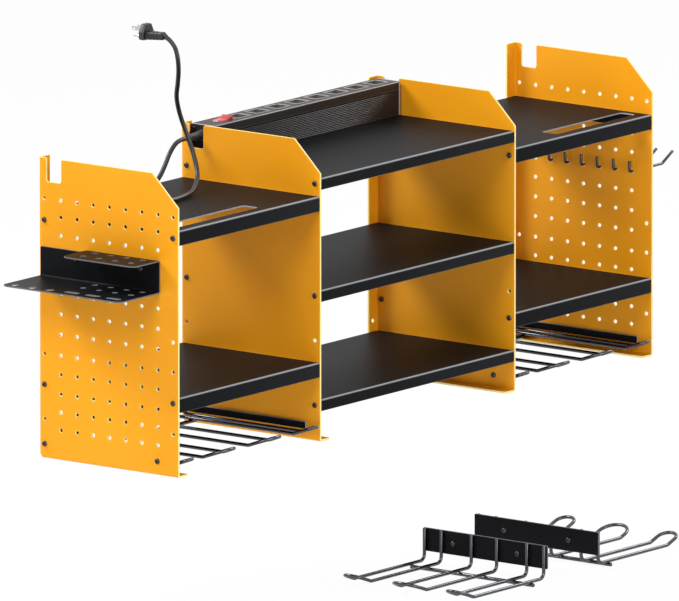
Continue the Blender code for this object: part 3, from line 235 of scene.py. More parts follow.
def rectangle(u0, v0, u1, v1, radii, segments=5):
    """A rectangle whose corners are quarter circles of this radius, or of four radii."""
    return softened([(u0, v0), (u1, v0), (u1, v1), (u0, v1)], np.broadcast_to(radii, 4), segments)


def inset(outline, distance):
    """Each point moved along the mean normal of its two edges, so that both edges shift alike."""
    before = unit(outline - np.roll(outline, 1, axis=0))
    after = unit(np.roll(outline, -1, axis=0) - outline)
    normal = np.stack([-(before[:, 1] + after[:, 1]), before[:, 0] + after[:, 0]], -1)
    return outline + normal * (distance / (1 + np.sum(before * after, axis=1)))[:, None]


def rim(low, high, edge, steps=3):
    """Inset and height of each ring from the low face, round two quarter circles, to the high face.
    The first and last rings lie a little further in, where the flat faces start."""
    angle = np.linspace(0, math.pi / 2, steps)
    rise = math.copysign(edge, high - low) * (1 - np.cos(angle))
    first = np.c_[edge * (1 - np.sin(angle)), low + rise]
    last = np.c_[first[::-1, 0], high - rise[::-1]]
    return np.vstack([[FLAT_STARTS * edge, low], first, last, [FLAT_STARTS * edge, high]])


def carried(outline, profile, is_hole=False):
    """Rings of an outline: ring i is the outline moved into the material by inset i, at height i."""
    x, y = np.asarray(outline, float).T
    left = np.sum(x * np.roll(y, -1) - np.roll(x, -1) * y) > 0
    loop = np.c_[x, y] if left != is_hole else np.c_[x, y][::-1]
    return np.array([np.c_[inset(loop, i), np.full(len(loop), z)] for i, z in profile])


def filled(border, holes=(), creases=(), bright=None):
    """A closed skin: the rings of a border and its holes, and flat faces on their first and last
    rings. Each eased ring gets a rim value of 1, which marks a painted highlight; the border's
    rings may carry their own rim values in bright."""
    groups = [border, *holes]
    counts = [group.shape[1] for group in groups]
    starts = np.cumsum([0] + [group.shape[0] * group.shape[1] for group in groups])
    loops = np.cumsum([0] + counts)
    faces = []
    for start, group in zip(starts, groups):
        faces += (grid_faces(*group.shape[:2]) + start).tolist()
    edges = [(k + i, k + (i + 1) % n) for k, n in zip(loops, counts) for i in range(n)]
    edges += [tuple(int(np.argmin(np.linalg.norm(border[1, :, :2] - end, axis=1))) for end in crease)
              for crease in creases]
    for row in (0, -1):
        flat = np.concatenate([group[row, :, :2] for group in groups])
        index = np.concatenate([start + (row % len(group)) * n + np.arange(n)
                                for start, group, n in zip(starts, groups, counts)])
        made = delaunay_2d_cdt([Vector(p) for p in flat], edges, [], 1, 1e-5)
        if len(made[0]) != len(flat):
            raise ValueError("the outlines of a plate cross")
        corners = np.array(made[2])
        owner = np.repeat(np.arange(len(counts)), counts)[corners]
        in_hole = (owner[:, 0] > 0) & (owner == owner[:, :1]).all(axis=1)
        faces += index[corners[~in_hole]].tolist()
    points = np.concatenate([group.reshape(-1, 3) for group in groups])
    shine = [[0.0] + [1.0] * (len(group) - 2) + [0.0] for group in groups]
    shine[0] = shine[0] if bright is None else bright
    return points, faces, np.repeat(np.concatenate(shine), [n for g, n in zip(groups, counts) for _ in g])


def plate(border, holes, low, high, edge=0.4, creases=()):
    """A flat plate from low to high with eased rims."""
    eased = rim(low, high, edge, 2)
    rings = carried(border, rim(low, high, edge))
    return filled(rings, [carried(hole, eased, True) for hole in holes], creases)


def bent(along, off, radius, *starts):
    """Where points of a strip land once it is bent through a right angle beyond each start:
    along it, and off its middle plane. What lies beyond a start rolls by the angle
    t = (distance beyond) / radius, at most a right angle, round the centre that is one radius
    off the plane: x = start + l cos t - o sin t, y = radius + l sin t + o cos t, where l is
    what is left of the distance and o the distance off the centre."""
    x, y = along.copy(), off.copy()
    for start in reversed(starts):
        turn = np.clip((along - start) / radius, 0, math.pi / 2)
        left = x - start - radius * turn
        aside = y - radius
        x = start + left * np.cos(turn) - aside * np.sin(turn)
        y = radius + left * np.sin(turn) + aside * np.cos(turn)
    return x, y


def dished(x0, y0, x1, y1, top, bottom, side, cap, radius, holes=()):
    """A tray upside down. Its profile runs from the top, round a quarter circle of this radius,
    down the lip of thickness side, and back up inside to the underside of the cap. Its rim
    values paint a highlight: strongest on the fold's outside, and a little on the lip's lower corner."""
    ease = TRAY_EASE
    angle = np.linspace(0, math.pi / 2, 6)
    inner = max(radius - side, 0.5)
    outside = np.c_[radius * (1 - np.sin(angle)), top - radius * (1 - np.cos(angle))]
    inside = np.c_[side + inner * (1 - np.sin(angle)), top - cap - inner * (1 - np.cos(angle))]
    lip = [(0, 2), (0, 1), (0.3, 0.3), (1, 0)]
    profile = np.vstack([
        [radius + ease, top], outside, [0, top - radius - ease],
        [(ease * u, bottom + ease * v) for u, v in lip],
        [(side - ease * u, bottom + ease * v) for u, v in lip[::-1]],
        inside[::-1], [side + inner + ease, top - cap]])
    rings = []
    for i, z in profile:
        ring = rectangle(x0 + i, y0 + i, x1 - i, y1 - i, max(TRAY_CORNER - i, LEAST_RADIUS), 3)
        rings.append(np.c_[ring, np.full(len(ring), z)])
    # Painted highlight: rim values along the fold and the lip's lower corner.
    bright = np.zeros(len(rings))
    bright[2:6] = 0.4, 1, 1, 0.4
    bright[9:12] = 0.3
    through = rim(top, top - cap, ease)
    return filled(np.array(rings), [carried(hole, through, True) for hole in holes], (), bright)


# %% [markdown]
# Several such parts become one object, in the frame's metres. Seams and poles are welded,
# the normals are pointed outwards, and the piece is tied to the body that it rides on.
# Where a plate's rim was eased, an attribute named rim is 1, so that a material can find
# the edges. The material must also be one that a colour slot lists.

# %% Join parts into one object
SHARP_FROM = math.radians(35)


def build(name, parts, material, replaces=(), body="organizer"):
    """One object, its origin at zero, from parts of points, faces and perhaps rim values."""
    offset = 0
    faces = []
    for part in parts:
        faces += [[k + offset for k in face] for face in part[1]]
        offset += len(part[0])
    mesh = bpy.data.meshes.new(name)
    points = np.concatenate([part[0] for part in parts]) * MM
    mesh.from_pydata(points.tolist(), [], faces)
    # Rim values: 1 on eased rims and folds, where the materials paint a highlight.
    rims = np.concatenate([part[2] if len(part) > 2 else np.zeros(len(part[0])) for part in parts])
    mesh.attributes.new("rim", "FLOAT", "POINT").data.foreach_set("value", rims.astype(np.float32))
    shape = bmesh.new()
    shape.from_mesh(mesh)
    bmesh.ops.remove_doubles(shape, verts=shape.verts, dist=1e-7)
    bmesh.ops.recalc_face_normals(shape, faces=shape.faces)
    shape.to_mesh(mesh)
    shape.free()
    mesh.materials.append(material)
    mesh.shade_smooth()
    mesh.set_sharp_from_angle(angle=SHARP_FROM)
    piece = bpy.data.objects.new(name, mesh)
    bpy.context.scene.collection.objects.link(piece)
    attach(piece, body)
    if replaces:
        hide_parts(*replaces)
    next(slot for slot, finishes in SLOTS.items() if material in finishes)
    return piece


def moved(part, place):
    """A part whose points are put through place, a function of the whole array of points."""
    return (place(part[0]), *part[1:])


def laid(part, axes, origin=0.0):
    """A part drawn flat and laid in space: each point times the axes, plus the origin."""
    return moved(part, lambda points: points @ axes + origin)


# %% [markdown]
# ## Materials
# Colours are written as they look on a screen, in sRGB hex, and one function turns them
# to the linear values that a shader needs. One small function adds a node with its
# settings and its links. Three more link what the finishes share: the base colour of two
# tones with a painted highlight on the rims, a roughness that varies a little, and a fine relief.

# %% Colour and node helpers


def linear(hex_colour):
    """sRGB hex to linear RGBA: c/12.92 below 0.04045, otherwise ((c + 0.055)/1.055) ** 2.4."""
    values = [int(hex_colour[i:i + 2], 16) / 255 for i in (1, 3, 5)]
    return [v / 12.92 if v <= 0.04045 else ((v + 0.055) / 1.055) ** 2.4 for v in values] + [1.0]


def add_node(tree, kind, inputs=None, **settings):
    """A node with its settings; inputs maps a socket to a value or to another output."""
    made = tree.nodes.new(kind)
    for key, value in settings.items():
        setattr(made, key, value)
    for key, value in (inputs or {}).items():
        if isinstance(value, bpy.types.NodeSocket):
            tree.links.new(value, made.inputs[key])
        else:
            made.inputs[key].default_value = value
    return made


def new_material(name, **sockets):
    """A Principled material with these socket values; returns material, tree and shader."""
    material = bpy.data.materials.new(name)
    material.use_nodes = True
    tree = material.node_tree
    shader = tree.nodes["Principled BSDF"]
    for key, value in sockets.items():
        shader.inputs[key.replace("_", " ").title().replace("Ior", "IOR")].default_value = value
    return material, tree, shader


def noise(tree, size_mm, detail=2.0, roughness=0.5):
    """Noise on Object coordinates whose blotches are about size_mm across."""
    place = add_node(tree, "ShaderNodeTexCoord").outputs["Object"]
    return add_node(tree, "ShaderNodeTexNoise", {
        "Vector": place, "Scale": 1 / (size_mm * MM), "Detail": detail,
        "Roughness": roughness}).outputs["Fac"]


def two_tones(tree, factor, first, second):
    """The two colours mixed by the factor; either may be a hex colour or an output."""
    ends = [linear(tone) if isinstance(tone, str) else tone for tone in (first, second)]
    mixed = add_node(tree, "ShaderNodeMix", {"Factor": factor, 6: ends[0], 7: ends[1]}, data_type="RGBA")
    return mixed.outputs[2]


def tint(tree, shader, factor, hex_colour, pale_hex, painted_highlight_hex=None):
    """Two tones mixed by the factor and, where the rim attribute is 1, a painted highlight in the
    highlight's colour.
    """
    tone = two_tones(tree, factor, hex_colour, pale_hex)
    if painted_highlight_hex:
        # The rim attribute marks eased rims and folds, where a highlight is painted in a paler colour.
        edge = add_node(tree, "ShaderNodeAttribute", attribute_name="rim").outputs["Fac"]
        tone = two_tones(tree, edge, tone, painted_highlight_hex)
    tree.links.new(tone, shader.inputs["Base Color"])


def vary_roughness(tree, shader, factor, low, high):
    """Roughness that goes from low to high with the factor."""
    band = add_node(tree, "ShaderNodeMapRange", {"Value": factor, "To Min": low, "To Max": high})
    tree.links.new(band.outputs[0], shader.inputs["Roughness"])


def roughen(tree, shader, height, strength, depth_mm):
    """A relief in the normals that is depth_mm deep where the height goes from 0 to 1."""
    grain = add_node(tree, "ShaderNodeBump", {"Height": height, "Strength": strength,
                                              "Distance": depth_mm * MM})
    tree.links.new(grain.outputs[0], shader.inputs["Normal"])


# %% [markdown]
# ** Powder coat on sheet steel.** The powder melts and flows but never lies quite flat,
# so it has a fine orange peel of one to two millimetres and a soft, even gloss. Over a
# hand's width the tone drifts a little. On the cut rims and the folds a paler colour is
# painted where the rim attribute is 1: a painted highlight, where the edges catch the
# light. The orange and the two black coats differ in colour, gloss and grain.

# %% Powder coats
DRIFT_MM = 140


def powder_coat(name, hex_colour, pale_hex, painted_highlight_hex, roughness, peel_mm, depth_mm, specular):
    material, tree, shader = new_material(name, roughness=roughness, ior=1.45,
                                          specular_ior_level=specular)
    peel = noise(tree, peel_mm)
    tint(tree, shader, noise(tree, DRIFT_MM, 1.0), hex_colour, pale_hex, painted_highlight_hex)
    vary_roughness(tree, shader, peel, roughness - 0.06, roughness + 0.06)
    roughen(tree, shader, peel, 0.35, depth_mm)
    return material


# The third colour of each coat is a painted highlight for its rims and folds.
ORANGE_COAT = powder_coat("orange_powder_coated_steel", "#F39F15", "#F6A71D", "#FFE494",
                          0.44, 1.4, 0.05, 0.18)
BLACK_COAT = powder_coat("black_powder_coated_steel", "#101113", "#151618", "#9A9DA1",
                         0.48, 1.1, 0.05, 0.06)
GLOSS_COAT = powder_coat("gloss_black_powder_coated_steel", "#0F1013", "#141518", "#6A6D72",
                         0.42, 1.8, 0.04, 0.07)

# %% [markdown]
# **Dark steel.** The pins of the drill racks are drawn steel wire with a plating of black
# nickel: a dark metal with a bright line along its lit side. Bolts and hooks are black
# oxide steel under oil, which is duller. The drawing die leaves faint lines, far too fine
# to see here, so only a slow mottle of the surface is drawn.

# %% Dark steel


def dark_steel(name, hex_colour, pale_hex, roughness, mottle_mm, **sockets):
    material, tree, shader = new_material(name, roughness=roughness, **sockets)
    mottle = noise(tree, mottle_mm, 3.0, 0.6)
    tint(tree, shader, mottle, hex_colour, pale_hex)
    vary_roughness(tree, shader, mottle, roughness - 0.05, roughness + 0.07)
    return material


BLACK_NICKEL = dark_steel("black_nickel_plated_wire", "#4A4B4F", "#56575B", 0.25, 9.0, metallic=1.0)
BLACK_OXIDE = dark_steel("black_oxide_steel", "#141518", "#1E1F23", 0.28, 1.2, ior=1.6)

# %% [markdown]
# **Plastics, rubber and plate.** The strip's body is a charcoal ABS moulding with the
# fine grain of a spark-eroded tool. The rocker is clear red polycarbonate, which lets
# some light through. The cord's jacket is PVC: black, a little greasy, with a slow
# mottle. Contacts are bare spring brass, and the plug's blades are nickel plated.

# %% Plastics, rubber and metals


def moulded(name, hex_colour, pale_hex, painted_highlight_hex, roughness, grain_mm, **sockets):
    material, tree, shader = new_material(name, roughness=roughness, **sockets)
    grain = noise(tree, grain_mm, 3.0, 0.6)
    tint(tree, shader, grain, hex_colour, pale_hex, painted_highlight_hex)
    roughen(tree, shader, grain, 0.25, 0.03)
    return material


# The third colour of each is a painted highlight, used where the rim attribute is 1 on eased rims and
# folds.
CHARCOAL_ABS = moulded("charcoal_moulded_abs", "#1F1C1B", "#292625", "#A09C98", 0.40, 0.9,
                       ior=1.45, specular_ior_level=0.2)
OUTLET_ABS = moulded("outlet_face_moulded_abs", "#100F0F", "#161515", "#6E6B69", 0.62, 0.7,
                     ior=1.5, specular_ior_level=0.1)
BLACK_NYLON = moulded("black_moulded_nylon", "#1A1B1D", "#232426", "#3A3C3F", 0.50, 0.8, ior=1.53)
PVC_JACKET = moulded("black_pvc_jacket", "#151617", "#1E1F21", "#2C2D2F", 0.40, 3.0, ior=1.5)
RED_POLYCARBONATE = moulded("clear_red_polycarbonate", "#D51A2C", "#E02A3B", "#F0606C", 0.16, 6.0,
                            ior=1.585, transmission_weight=0.25)
NICKEL = moulded("bright_nickel_plate", "#C6C3BD", "#D4D1CB", "#E4E2DD", 0.22, 2.0, metallic=1.0)
SPRING_BRASS = moulded("bare_spring_brass", "#D9B566", "#E4C57C", "#E8CD8A", 0.32, 1.5, metallic=1.0)
SLOTS = {
    "orange_coat": [ORANGE_COAT],
    "black_coat": [BLACK_COAT, GLOSS_COAT],
    "dark_wire": [BLACK_NICKEL, BLACK_OXIDE],
    "charcoal_plastic": [CHARCOAL_ABS, OUTLET_ABS],
    "black_rubber": [BLACK_NYLON, PVC_JACKET],
    "red_rocker": [RED_POLYCARBONATE],
    "plated_pins": [NICKEL],
}

# %% [markdown]
# ## Panels
# Each orange panel starts as one flat blank: a web full of peg holes, with a strip along
# the wall and a strip along the foot. Both strips are bent through a right angle, the
# wall strip to take the screws and the foot strip to stiffen the panel. The blank is
# drawn with its creases and bent here in the same order. The holes stand on an uneven
# ladder of rows, closer near both ends, with a few spare ones near the front and wall.

# %% Panel blank
SHEET = 3
BEND_OUTER = 4.5
ROLL = 3
FLANGE = 24
NOTCH_NEAR, NOTCH_FAR, NOTCH_DEEP = 14.5, 42.5, 36
CUT_LONG, CUT_HIGH = 49, 48
PEG_RADIUS, SCREW_RADIUS = 3, 3.25
SCREW_FROM_BEND = 9.75
QUARTER = np.linspace(0, math.pi / 2, 7)
PEG_COLUMNS = -(41.3 + 30.4 * np.arange(7))
PEG_ROWS = HEIGHT * np.array([0.1002, 0.1600, 0.2196, 0.2857, 0.3490, 0.4193, 0.4864,
                              0.5530, 0.6182, 0.6833, 0.7477, 0.8079, 0.8648])
FRONT_COLUMN, WALL_COLUMN = -DEPTH + 10, -10.6
FRONT_ROWS = HEIGHT * np.array([0.1422, 0.3493, 0.4483, 0.862])
WALL_ROWS = HEIGHT * np.array([0.132, 0.349, 0.866])
SCREW_ROWS = HEIGHT * np.array([0.176, 0.418, 0.703])
INNER_ROW = 0.336 * HEIGHT


def panel_blank(peg_places):
    """The blank in the plane of distance from the wall and height, with its bend lines as creases."""
    rear = -BEND_OUTER + ROLL * QUARTER
    foot = BEND_OUTER - ROLL * QUARTER
    straight = FLANGE - BEND_OUTER
    far, low, front = rear[-1] + straight, foot[-1] - straight, -DEPTH
    notch = HEIGHT - NOTCH_DEEP
    corners = [(front, low), (-BEND_OUTER, low)]
    corners += [(-BEND_OUTER, v) for v in foot[::-1]]
    corners += [(u, BEND_OUTER) for u in rear[1:]]
    corners += [(far, BEND_OUTER), (far, HEIGHT)]
    corners += [(u, HEIGHT) for u in rear[::-1]]
    corners += [(-NOTCH_NEAR, HEIGHT), (-NOTCH_NEAR, notch), (-NOTCH_FAR, notch),
                (-NOTCH_FAR, HEIGHT), (front + CUT_LONG, HEIGHT), (front, HEIGHT - CUT_HIGH)]
    corners += [(front, v) for v in foot]
    radii = [2] * 2 + [0] * 13 + [2] * 2 + [0] * 7 + [3, 4, 4, 3, 3, 3] + [0] * 7
    creases = [((-BEND_OUTER, v), (front, v)) for v in foot]
    creases += [((u, BEND_OUTER), (u, HEIGHT)) for u in rear]
    holes = [circle(u, v, PEG_RADIUS, 12) for u, v in peg_places]
    holes += [circle(rear[-1] + SCREW_FROM_BEND, v, SCREW_RADIUS, 16) for v in SCREW_ROWS]
    outline = softened(corners, radii, 4)
    return plate(outline, holes, -SHEET / 2, SHEET / 2, 0.35, creases)


def panel(name, outer, way, peg_places):
    """Bend the blank at the wall, then at the foot; way is 1 or -1, the side the strips turn to."""

    def place(points):
        u, v, off = points.T
        along, off = bent(u, off, ROLL, -BEND_OUTER)
        down, off = bent(-v, off, ROLL, -BEND_OUTER)
        return np.c_[outer + way * (SHEET / 2 + off), along, -down]

    build("orange_" + name, [moved(panel_blank(peg_places), place)], ORANGE_COAT, [name])


END_PEGS = [(u, v) for u in PEG_COLUMNS for v in PEG_ROWS]
END_PEGS += [(FRONT_COLUMN, v) for v in FRONT_ROWS] + [(WALL_COLUMN, v) for v in WALL_ROWS]
INNER_PEGS = [(u, INNER_ROW) for u in (FRONT_COLUMN, WALL_COLUMN)]
INNER = box("panel_left_inner")[0].x
panel("panel_left_end", -HALF_WIDTH, 1, END_PEGS)
panel("panel_left_inner", INNER, 1, INNER_PEGS)
panel("panel_right_inner", -INNER, -1, INNER_PEGS)
panel("panel_right_end", HALF_WIDTH, -1, END_PEGS)
print("holes in an end panel:", len(END_PEGS))

# %% [markdown]
# ## Trays
# A shelf is a tray laid upside down: a deck with a lip folded down on all four sides,
# welded at the corners. The fold's outer radius is 3 mm, and that soft edge catches the
# lamps as a bright line along each shelf's front; the same line is also a painted
# highlight, a paler colour on the fold. The two upper side shelves have a long slot
# near the front, in which a saw's blade hangs.

# %% Trays
TRAY_SHEET = 2
FOLD_RADIUS = 3
SAW_SLOT_MIDDLE = 468
SAW_SLOT_HALF, SAW_SLOT_WIDE, SAW_SLOT_CORNER = 100, 28, 6
SAW_SLOT_FROM_FRONT = 19


def tray(name, slot_middle=None):
    """The dished form in the solid's box, with a saw slot where its middle is given."""
    low, high = box(name)
    holes = []
    if slot_middle is not None:
        near = low.y + SAW_SLOT_FROM_FRONT
        holes = [rectangle(slot_middle - SAW_SLOT_HALF, near, slot_middle + SAW_SLOT_HALF,
                           near + SAW_SLOT_WIDE, SAW_SLOT_CORNER)]
    part = dished(low.x, low.y, high.x, high.y, high.z, low.z, TRAY_SHEET, TRAY_SHEET,
                  FOLD_RADIUS, holes)
    build(name.replace("shelf", "tray"), [part], BLACK_COAT, [name])


for level in ("left_low", "centre_low", "centre_mid", "centre_top", "right_low"):
    tray("shelf_" + level)
tray("shelf_left_top", -SAW_SLOT_MIDDLE)
tray("shelf_right_top", SAW_SLOT_MIDDLE)

# %% [markdown]
# ## Drill racks
# A drill rack is a steel strip bent to a U that bolts between two panels. Its back is
# taller, and bent wire pins are welded to it. Each pin is one wire: down the back plate,
# forward as two legs, and closed by a loop that tips up so that nothing slides off. A
# straight rod below ties all the legs. The two spare racks have only a flat plate with
# two bolt holes.

# %% Wires
PIN_WIRE, TIE_ROD = 5.4, 6
LOOP_RUN, LOOP_RISE = 33, 12
PIN_STAND_OFF = 2.8
PIN_BEND, LOOP_BEND = 10, 14
TIE_OUT, TIE_DROP, TIE_OVERHANG = 32, 5.8, 4


def hairpin(base, out, side, legs, top, straight):
    """The pin's middle line: softened corners for each leg, and half a circle of radius half the
    legs' distance, drawn on the slope of the loop's rise over its run."""
    up = np.array([0, 0, 1.0])
    radius = (legs[1] - legs[0]) / 2
    rising = unit(out * LOOP_RUN + up * LOOP_RISE)
    reach = math.hypot(LOOP_RUN, LOOP_RISE) - radius
    hinge = base + out * straight
    stand = base + out * PIN_STAND_OFF
    leg = softened([stand + up * top, stand, hinge, hinge + rising * reach],
                   [0, PIN_BEND, LOOP_BEND, 0], 8)
    turn = np.linspace(0, math.pi, 17)[1:-1, None]
    middle = hinge + side * (legs[0] + legs[1]) / 2
    loop = middle + rising * (reach + radius * np.sin(turn)) - side * (radius * np.cos(turn))
    return np.concatenate([leg + side * legs[0], loop, (leg + side * legs[1])[::-1]])


def pins_and_rod(prefix, base, out, side, pairs, top, straight):
    """A tube along each pair's hairpin, and a straight one below that ties their legs."""
    base, out, side = (np.array(v, float) for v in (base, out, side))
    for number, legs in enumerate(pairs, start=1):
        path = hairpin(base, out, side, legs, top, straight)
        build(f"{prefix}_pin_{number}", [tube(path, PIN_WIRE / 2, 16, 0.35)], BLACK_NICKEL,
              [f"{prefix}_tine_{number}"])
    below = base + out * TIE_OUT - np.array([0, 0, TIE_DROP])
    ends = [below + side * (pairs[0][0] - TIE_OVERHANG), below + side * (pairs[-1][1] + TIE_OVERHANG)]
    build(prefix + "_tie_rod", [tube(ends, TIE_ROD / 2, 16, 0.35)], BLACK_NICKEL, [prefix + "_rod"])


# %% [markdown]
# The strip of a bay rack is again a blank: long and low, with a taller middle. It is
# bent at two places, the same way at both, so the distance from the middle is bent and
# then given back its side.

# %% Bay racks
ARM_HIGH = 11
BAY_BEND = 4.5
SHOULDER_STEP = 1.5
BAY_LEGS = np.array([(8.5, 29.5), (90.5, 140.5), (201.5, 251.5), (312.5, 333.5)])
BAY_SIDE_GAP, BAY_PIN_DROP = 0.3, 3.3
BAY_PIN_TOP, BAY_PIN_STRAIGHT = 35.3, 228.7


def bay_rack(prefix):
    """The blank runs along u from its middle, and bent takes the distance from the middle."""
    low, high = box(prefix + "_frame")
    centre, back = (low.x + high.x) / 2, high.y - SHEET / 2
    half = (high.x - low.x - SHEET) / 2 - BAY_BEND
    end = half + BAY_BEND * math.pi / 2 + (back - BAY_BEND - low.y)
    arm_top = low.z + ARM_HIGH
    bend = half + BAY_BEND * QUARTER
    shoulder = half - SHOULDER_STEP
    corners = [(-end, low.z)] + [(u, low.z) for u in (*-bend[::-1], *bend)]
    corners += [(end, low.z), (end, arm_top)] + [(u, arm_top) for u in bend[::-1]]
    corners += [(shoulder, arm_top), (shoulder, high.z), (-shoulder, high.z), (-shoulder, arm_top)]
    corners += [(u, arm_top) for u in -bend] + [(-end, arm_top)]
    radii = [2] + [0] * 14 + [2, 2] + [0] * 8 + [3, 3] + [0] * 8 + [2]
    creases = [((u, low.z), (u, arm_top)) for u in (*bend, *-bend)]
    blank = plate(softened(corners, radii, 4), [], -SHEET / 2, SHEET / 2, 0.35, creases)

    def place(points):
        u, v, off = points.T
        along, off = bent(np.abs(u), off, BAY_BEND, half)
        return np.c_[centre + np.sign(u) * along, back - off, v]

    build(prefix + "_strip", [moved(blank, place)], BLACK_COAT, [prefix + "_frame"])
    base = (low.x - BAY_SIDE_GAP, back - SHEET / 2, low.z - BAY_PIN_DROP)
    pins_and_rod(prefix, base, (0, -1, 0), (1, 0, 0), BAY_LEGS, BAY_PIN_TOP, BAY_PIN_STRAIGHT)
    return [round(v, 1) for v in base]


print("bay racks from", bay_rack("rack_left"), "and", bay_rack("rack_right"), "mm")

# %% [markdown]
# A spare rack's plate is a plain bar with two bolt holes. Its pins are made in the same
# way, and they point along the wall, each rack's to its own side.

# %% Spare racks
SPARE_LEGS = np.array([(4.5, 36.5), (93.5, 141.5), (198.5, 230.5)])
SPARE_BOLT_SPREAD, SPARE_BOLT_DROP, SPARE_BOLT_RADIUS = 60.8, 1, 3
SPARE_PIN_DROP, SPARE_PIN_TOP, SPARE_PIN_STRAIGHT = 13.6, 49.6, 178


def spare_rack(prefix, way):
    """The plate is a flat blank in the plane of y and z; the pins point along x by way."""
    low, high = box(prefix + "_plate")
    middle, hole_z = (low.y + high.y) / 2, (low.z + high.z) / 2 - SPARE_BOLT_DROP
    places = [(middle + side * SPARE_BOLT_SPREAD, hole_z) for side in (-1, 1)]
    holes = [circle(y, z, SPARE_BOLT_RADIUS, 16) for y, z in places]
    outline = rectangle(low.y, low.z, high.y, high.z, 2)
    part = laid(plate(outline, holes, low.x, high.x, 0.35), YZ)
    build(prefix + "_bar", [part], GLOSS_COAT, [prefix + "_plate"])
    base = (high.x if way > 0 else low.x, high.y, low.z - SPARE_PIN_DROP)
    pins_and_rod(prefix, base, (way, 0, 0), (0, -1, 0), SPARE_LEGS, SPARE_PIN_TOP, SPARE_PIN_STRAIGHT)
    return [(low.x, y, z) for y, z in places]


spare_bolts = spare_rack("loose_rack_a", -1) + spare_rack("loose_rack_b", 1)
print("spare rack bolts:", len(spare_bolts))

# %% [markdown]
# ## Hooks
# Six hooks hang from one row of peg holes in the right end panel. Each is a bent wire:
# its foot goes in through a hole and lies up the inside, and its tip turns up outside.

# %% Hooks
HOOK_ROW = PEG_ROWS[8]
HOOK_INSIDE_X, HOOK_KNEE_X, HOOK_TIP_X = 578, 661, 688
HOOK_INSIDE_RISE, HOOK_TIP_RISE = 16.5, 15.6
HOOK_WIRE = 4.5

for number, y in enumerate(PEG_COLUMNS[1:], start=1):
    corners = [(HOOK_INSIDE_X, y, HOOK_ROW + HOOK_INSIDE_RISE), (HOOK_INSIDE_X, y, HOOK_ROW),
               (HOOK_KNEE_X, y, HOOK_ROW), (HOOK_TIP_X, y, HOOK_ROW + HOOK_TIP_RISE)]
    line = softened(corners, [0, 4, 6, 0])
    build(f"bent_hook_{number}", [tube(line, HOOK_WIRE / 2, 12, 0.35)], BLACK_OXIDE, [f"hook_{number}"])
print("hook row at", round(HOOK_ROW, 1), "mm")

# %% [markdown]
# ## Tool holder
# The holder on the left end panel is a sheet bent to a channel that lies on its side: a
# long lower plate with slots and wide holes along its edge, a web against the panel,
# and a shorter upper plate. Screwdrivers stand in pairs of holes that line up, so the
# same places are cut in both plates of the blank.

# %% Tool holder
HOLDER_SHEET, HOLDER_BEND, HOLDER_CORNER = 2, 3, 12
LOW_DEEP, TOP_DEEP, WEB_STRAIGHT = 98, 64, 42
HOLDER_FOLD = HOLDER_SHEET / 2 + HOLDER_BEND
TOP_NEAR = -92
DRIVER_RADIUS, DRIVER_ROWS = 4.5, (-117, -147, -177, -207)
DRIVER_OUT = (15, 43)
WIDE_RADIUS, WIDE_ROWS, WIDE_IN = 6.5, (-22, -55, -88), 12
PLIER_ROWS, PLIER_HALF, PLIER_WIDE, PLIER_IN = (-126, -165, -204), 13, 9, 12.5


def holder():
    """The blank runs along s from the lower plate's free edge, over both bends, to the top's edge."""
    low, high = box("tool_holder")
    face, far, near = high.x, low.y, high.y
    quarter = HOLDER_BEND * math.pi / 2
    bend_low = LOW_DEEP - HOLDER_FOLD
    bend_top = bend_low + quarter + WEB_STRAIGHT
    top_starts = bend_top + quarter - HOLDER_FOLD
    total = top_starts + TOP_DEEP
    first, second = bend_low + HOLDER_BEND * QUARTER, bend_top + HOLDER_BEND * QUARTER
    corners = [(0, far)] + [(s, far) for s in (*first, *second)] + [(total, far), (total, TOP_NEAR)]
    corners += [(s, TOP_NEAR) for s in second[::-1]] + [(bend_top, near)]
    corners += [(s, near) for s in first[::-1]] + [(0, near)]
    round_off = HOLDER_CORNER
    radii = [round_off] + [0] * 14 + [round_off] * 2 + [0] * 7 + [2] + [0] * 7 + [round_off]
    creases = [((s, far), (s, near)) for s in first] + [((s, far), (s, TOP_NEAR)) for s in second]
    holes = []
    for y in DRIVER_ROWS:
        for out in DRIVER_OUT:
            holes += [circle(s, y, DRIVER_RADIUS) for s in (LOW_DEEP - out, top_starts + out)]
    holes += [circle(WIDE_IN, y, WIDE_RADIUS, 24) for y in WIDE_ROWS]
    holes += [rectangle(PLIER_IN, y - PLIER_HALF, PLIER_IN + PLIER_WIDE, y + PLIER_HALF, 4.2)
              for y in PLIER_ROWS]
    blank = plate(softened(corners, radii), holes, -HOLDER_SHEET / 2, HOLDER_SHEET / 2,
                  0.3, creases)

    def place(points):
        s, v, off = points.T
        along, up = bent(s, off, HOLDER_BEND, bend_low, bend_top)
        return np.c_[face - LOW_DEEP + along, v, low.z + HOLDER_SHEET / 2 + up]

    build("holder_channel", [moved(blank, place)], GLOSS_COAT, ["tool_holder"])
    return len(holes)


print("holes in the holder:", holder())

# %% [markdown]
# ## Bolts
# Everything is held by black button-head bolts with a hexagon socket. One head is turned
# about its axis: down the socket's wall, over the rounded crown, and down to the sheet.
# The socket's rings are hexagons: their radius is the distance to the nearest flat over
# the cosine of the angle from it.

# %% Bolts
CROWN_RADII = (2.1, 3.0, 3.7, 4.15, 4.35, 4.35, 0.0)
BOLT_HEIGHTS = (0.9, 0.9, 2.3, 2.4, 2.25, 1.75, 1.05, 0.4, 0.0, 0.0)
SOCKET_FLAT = 1.5


def bolt(place, way, scale=1.0):
    """Radius by ring and angle; the first three rings are the socket's, the rest are round."""
    sides = 24
    angles = angles_round(sides)
    hexagon = SOCKET_FLAT / np.cos(angles % (math.pi / 3) - math.pi / 6)
    rings = [np.zeros(sides), hexagon, hexagon] + [np.full(sides, r) for r in CROWN_RADII]
    return turned(np.array(rings) * scale, np.array(BOLT_HEIGHTS) * scale, place, (way, 0, 0), sides)


def bolts(name, heads):
    build(name, [bolt(place, way) for place, way in heads], BLACK_OXIDE)


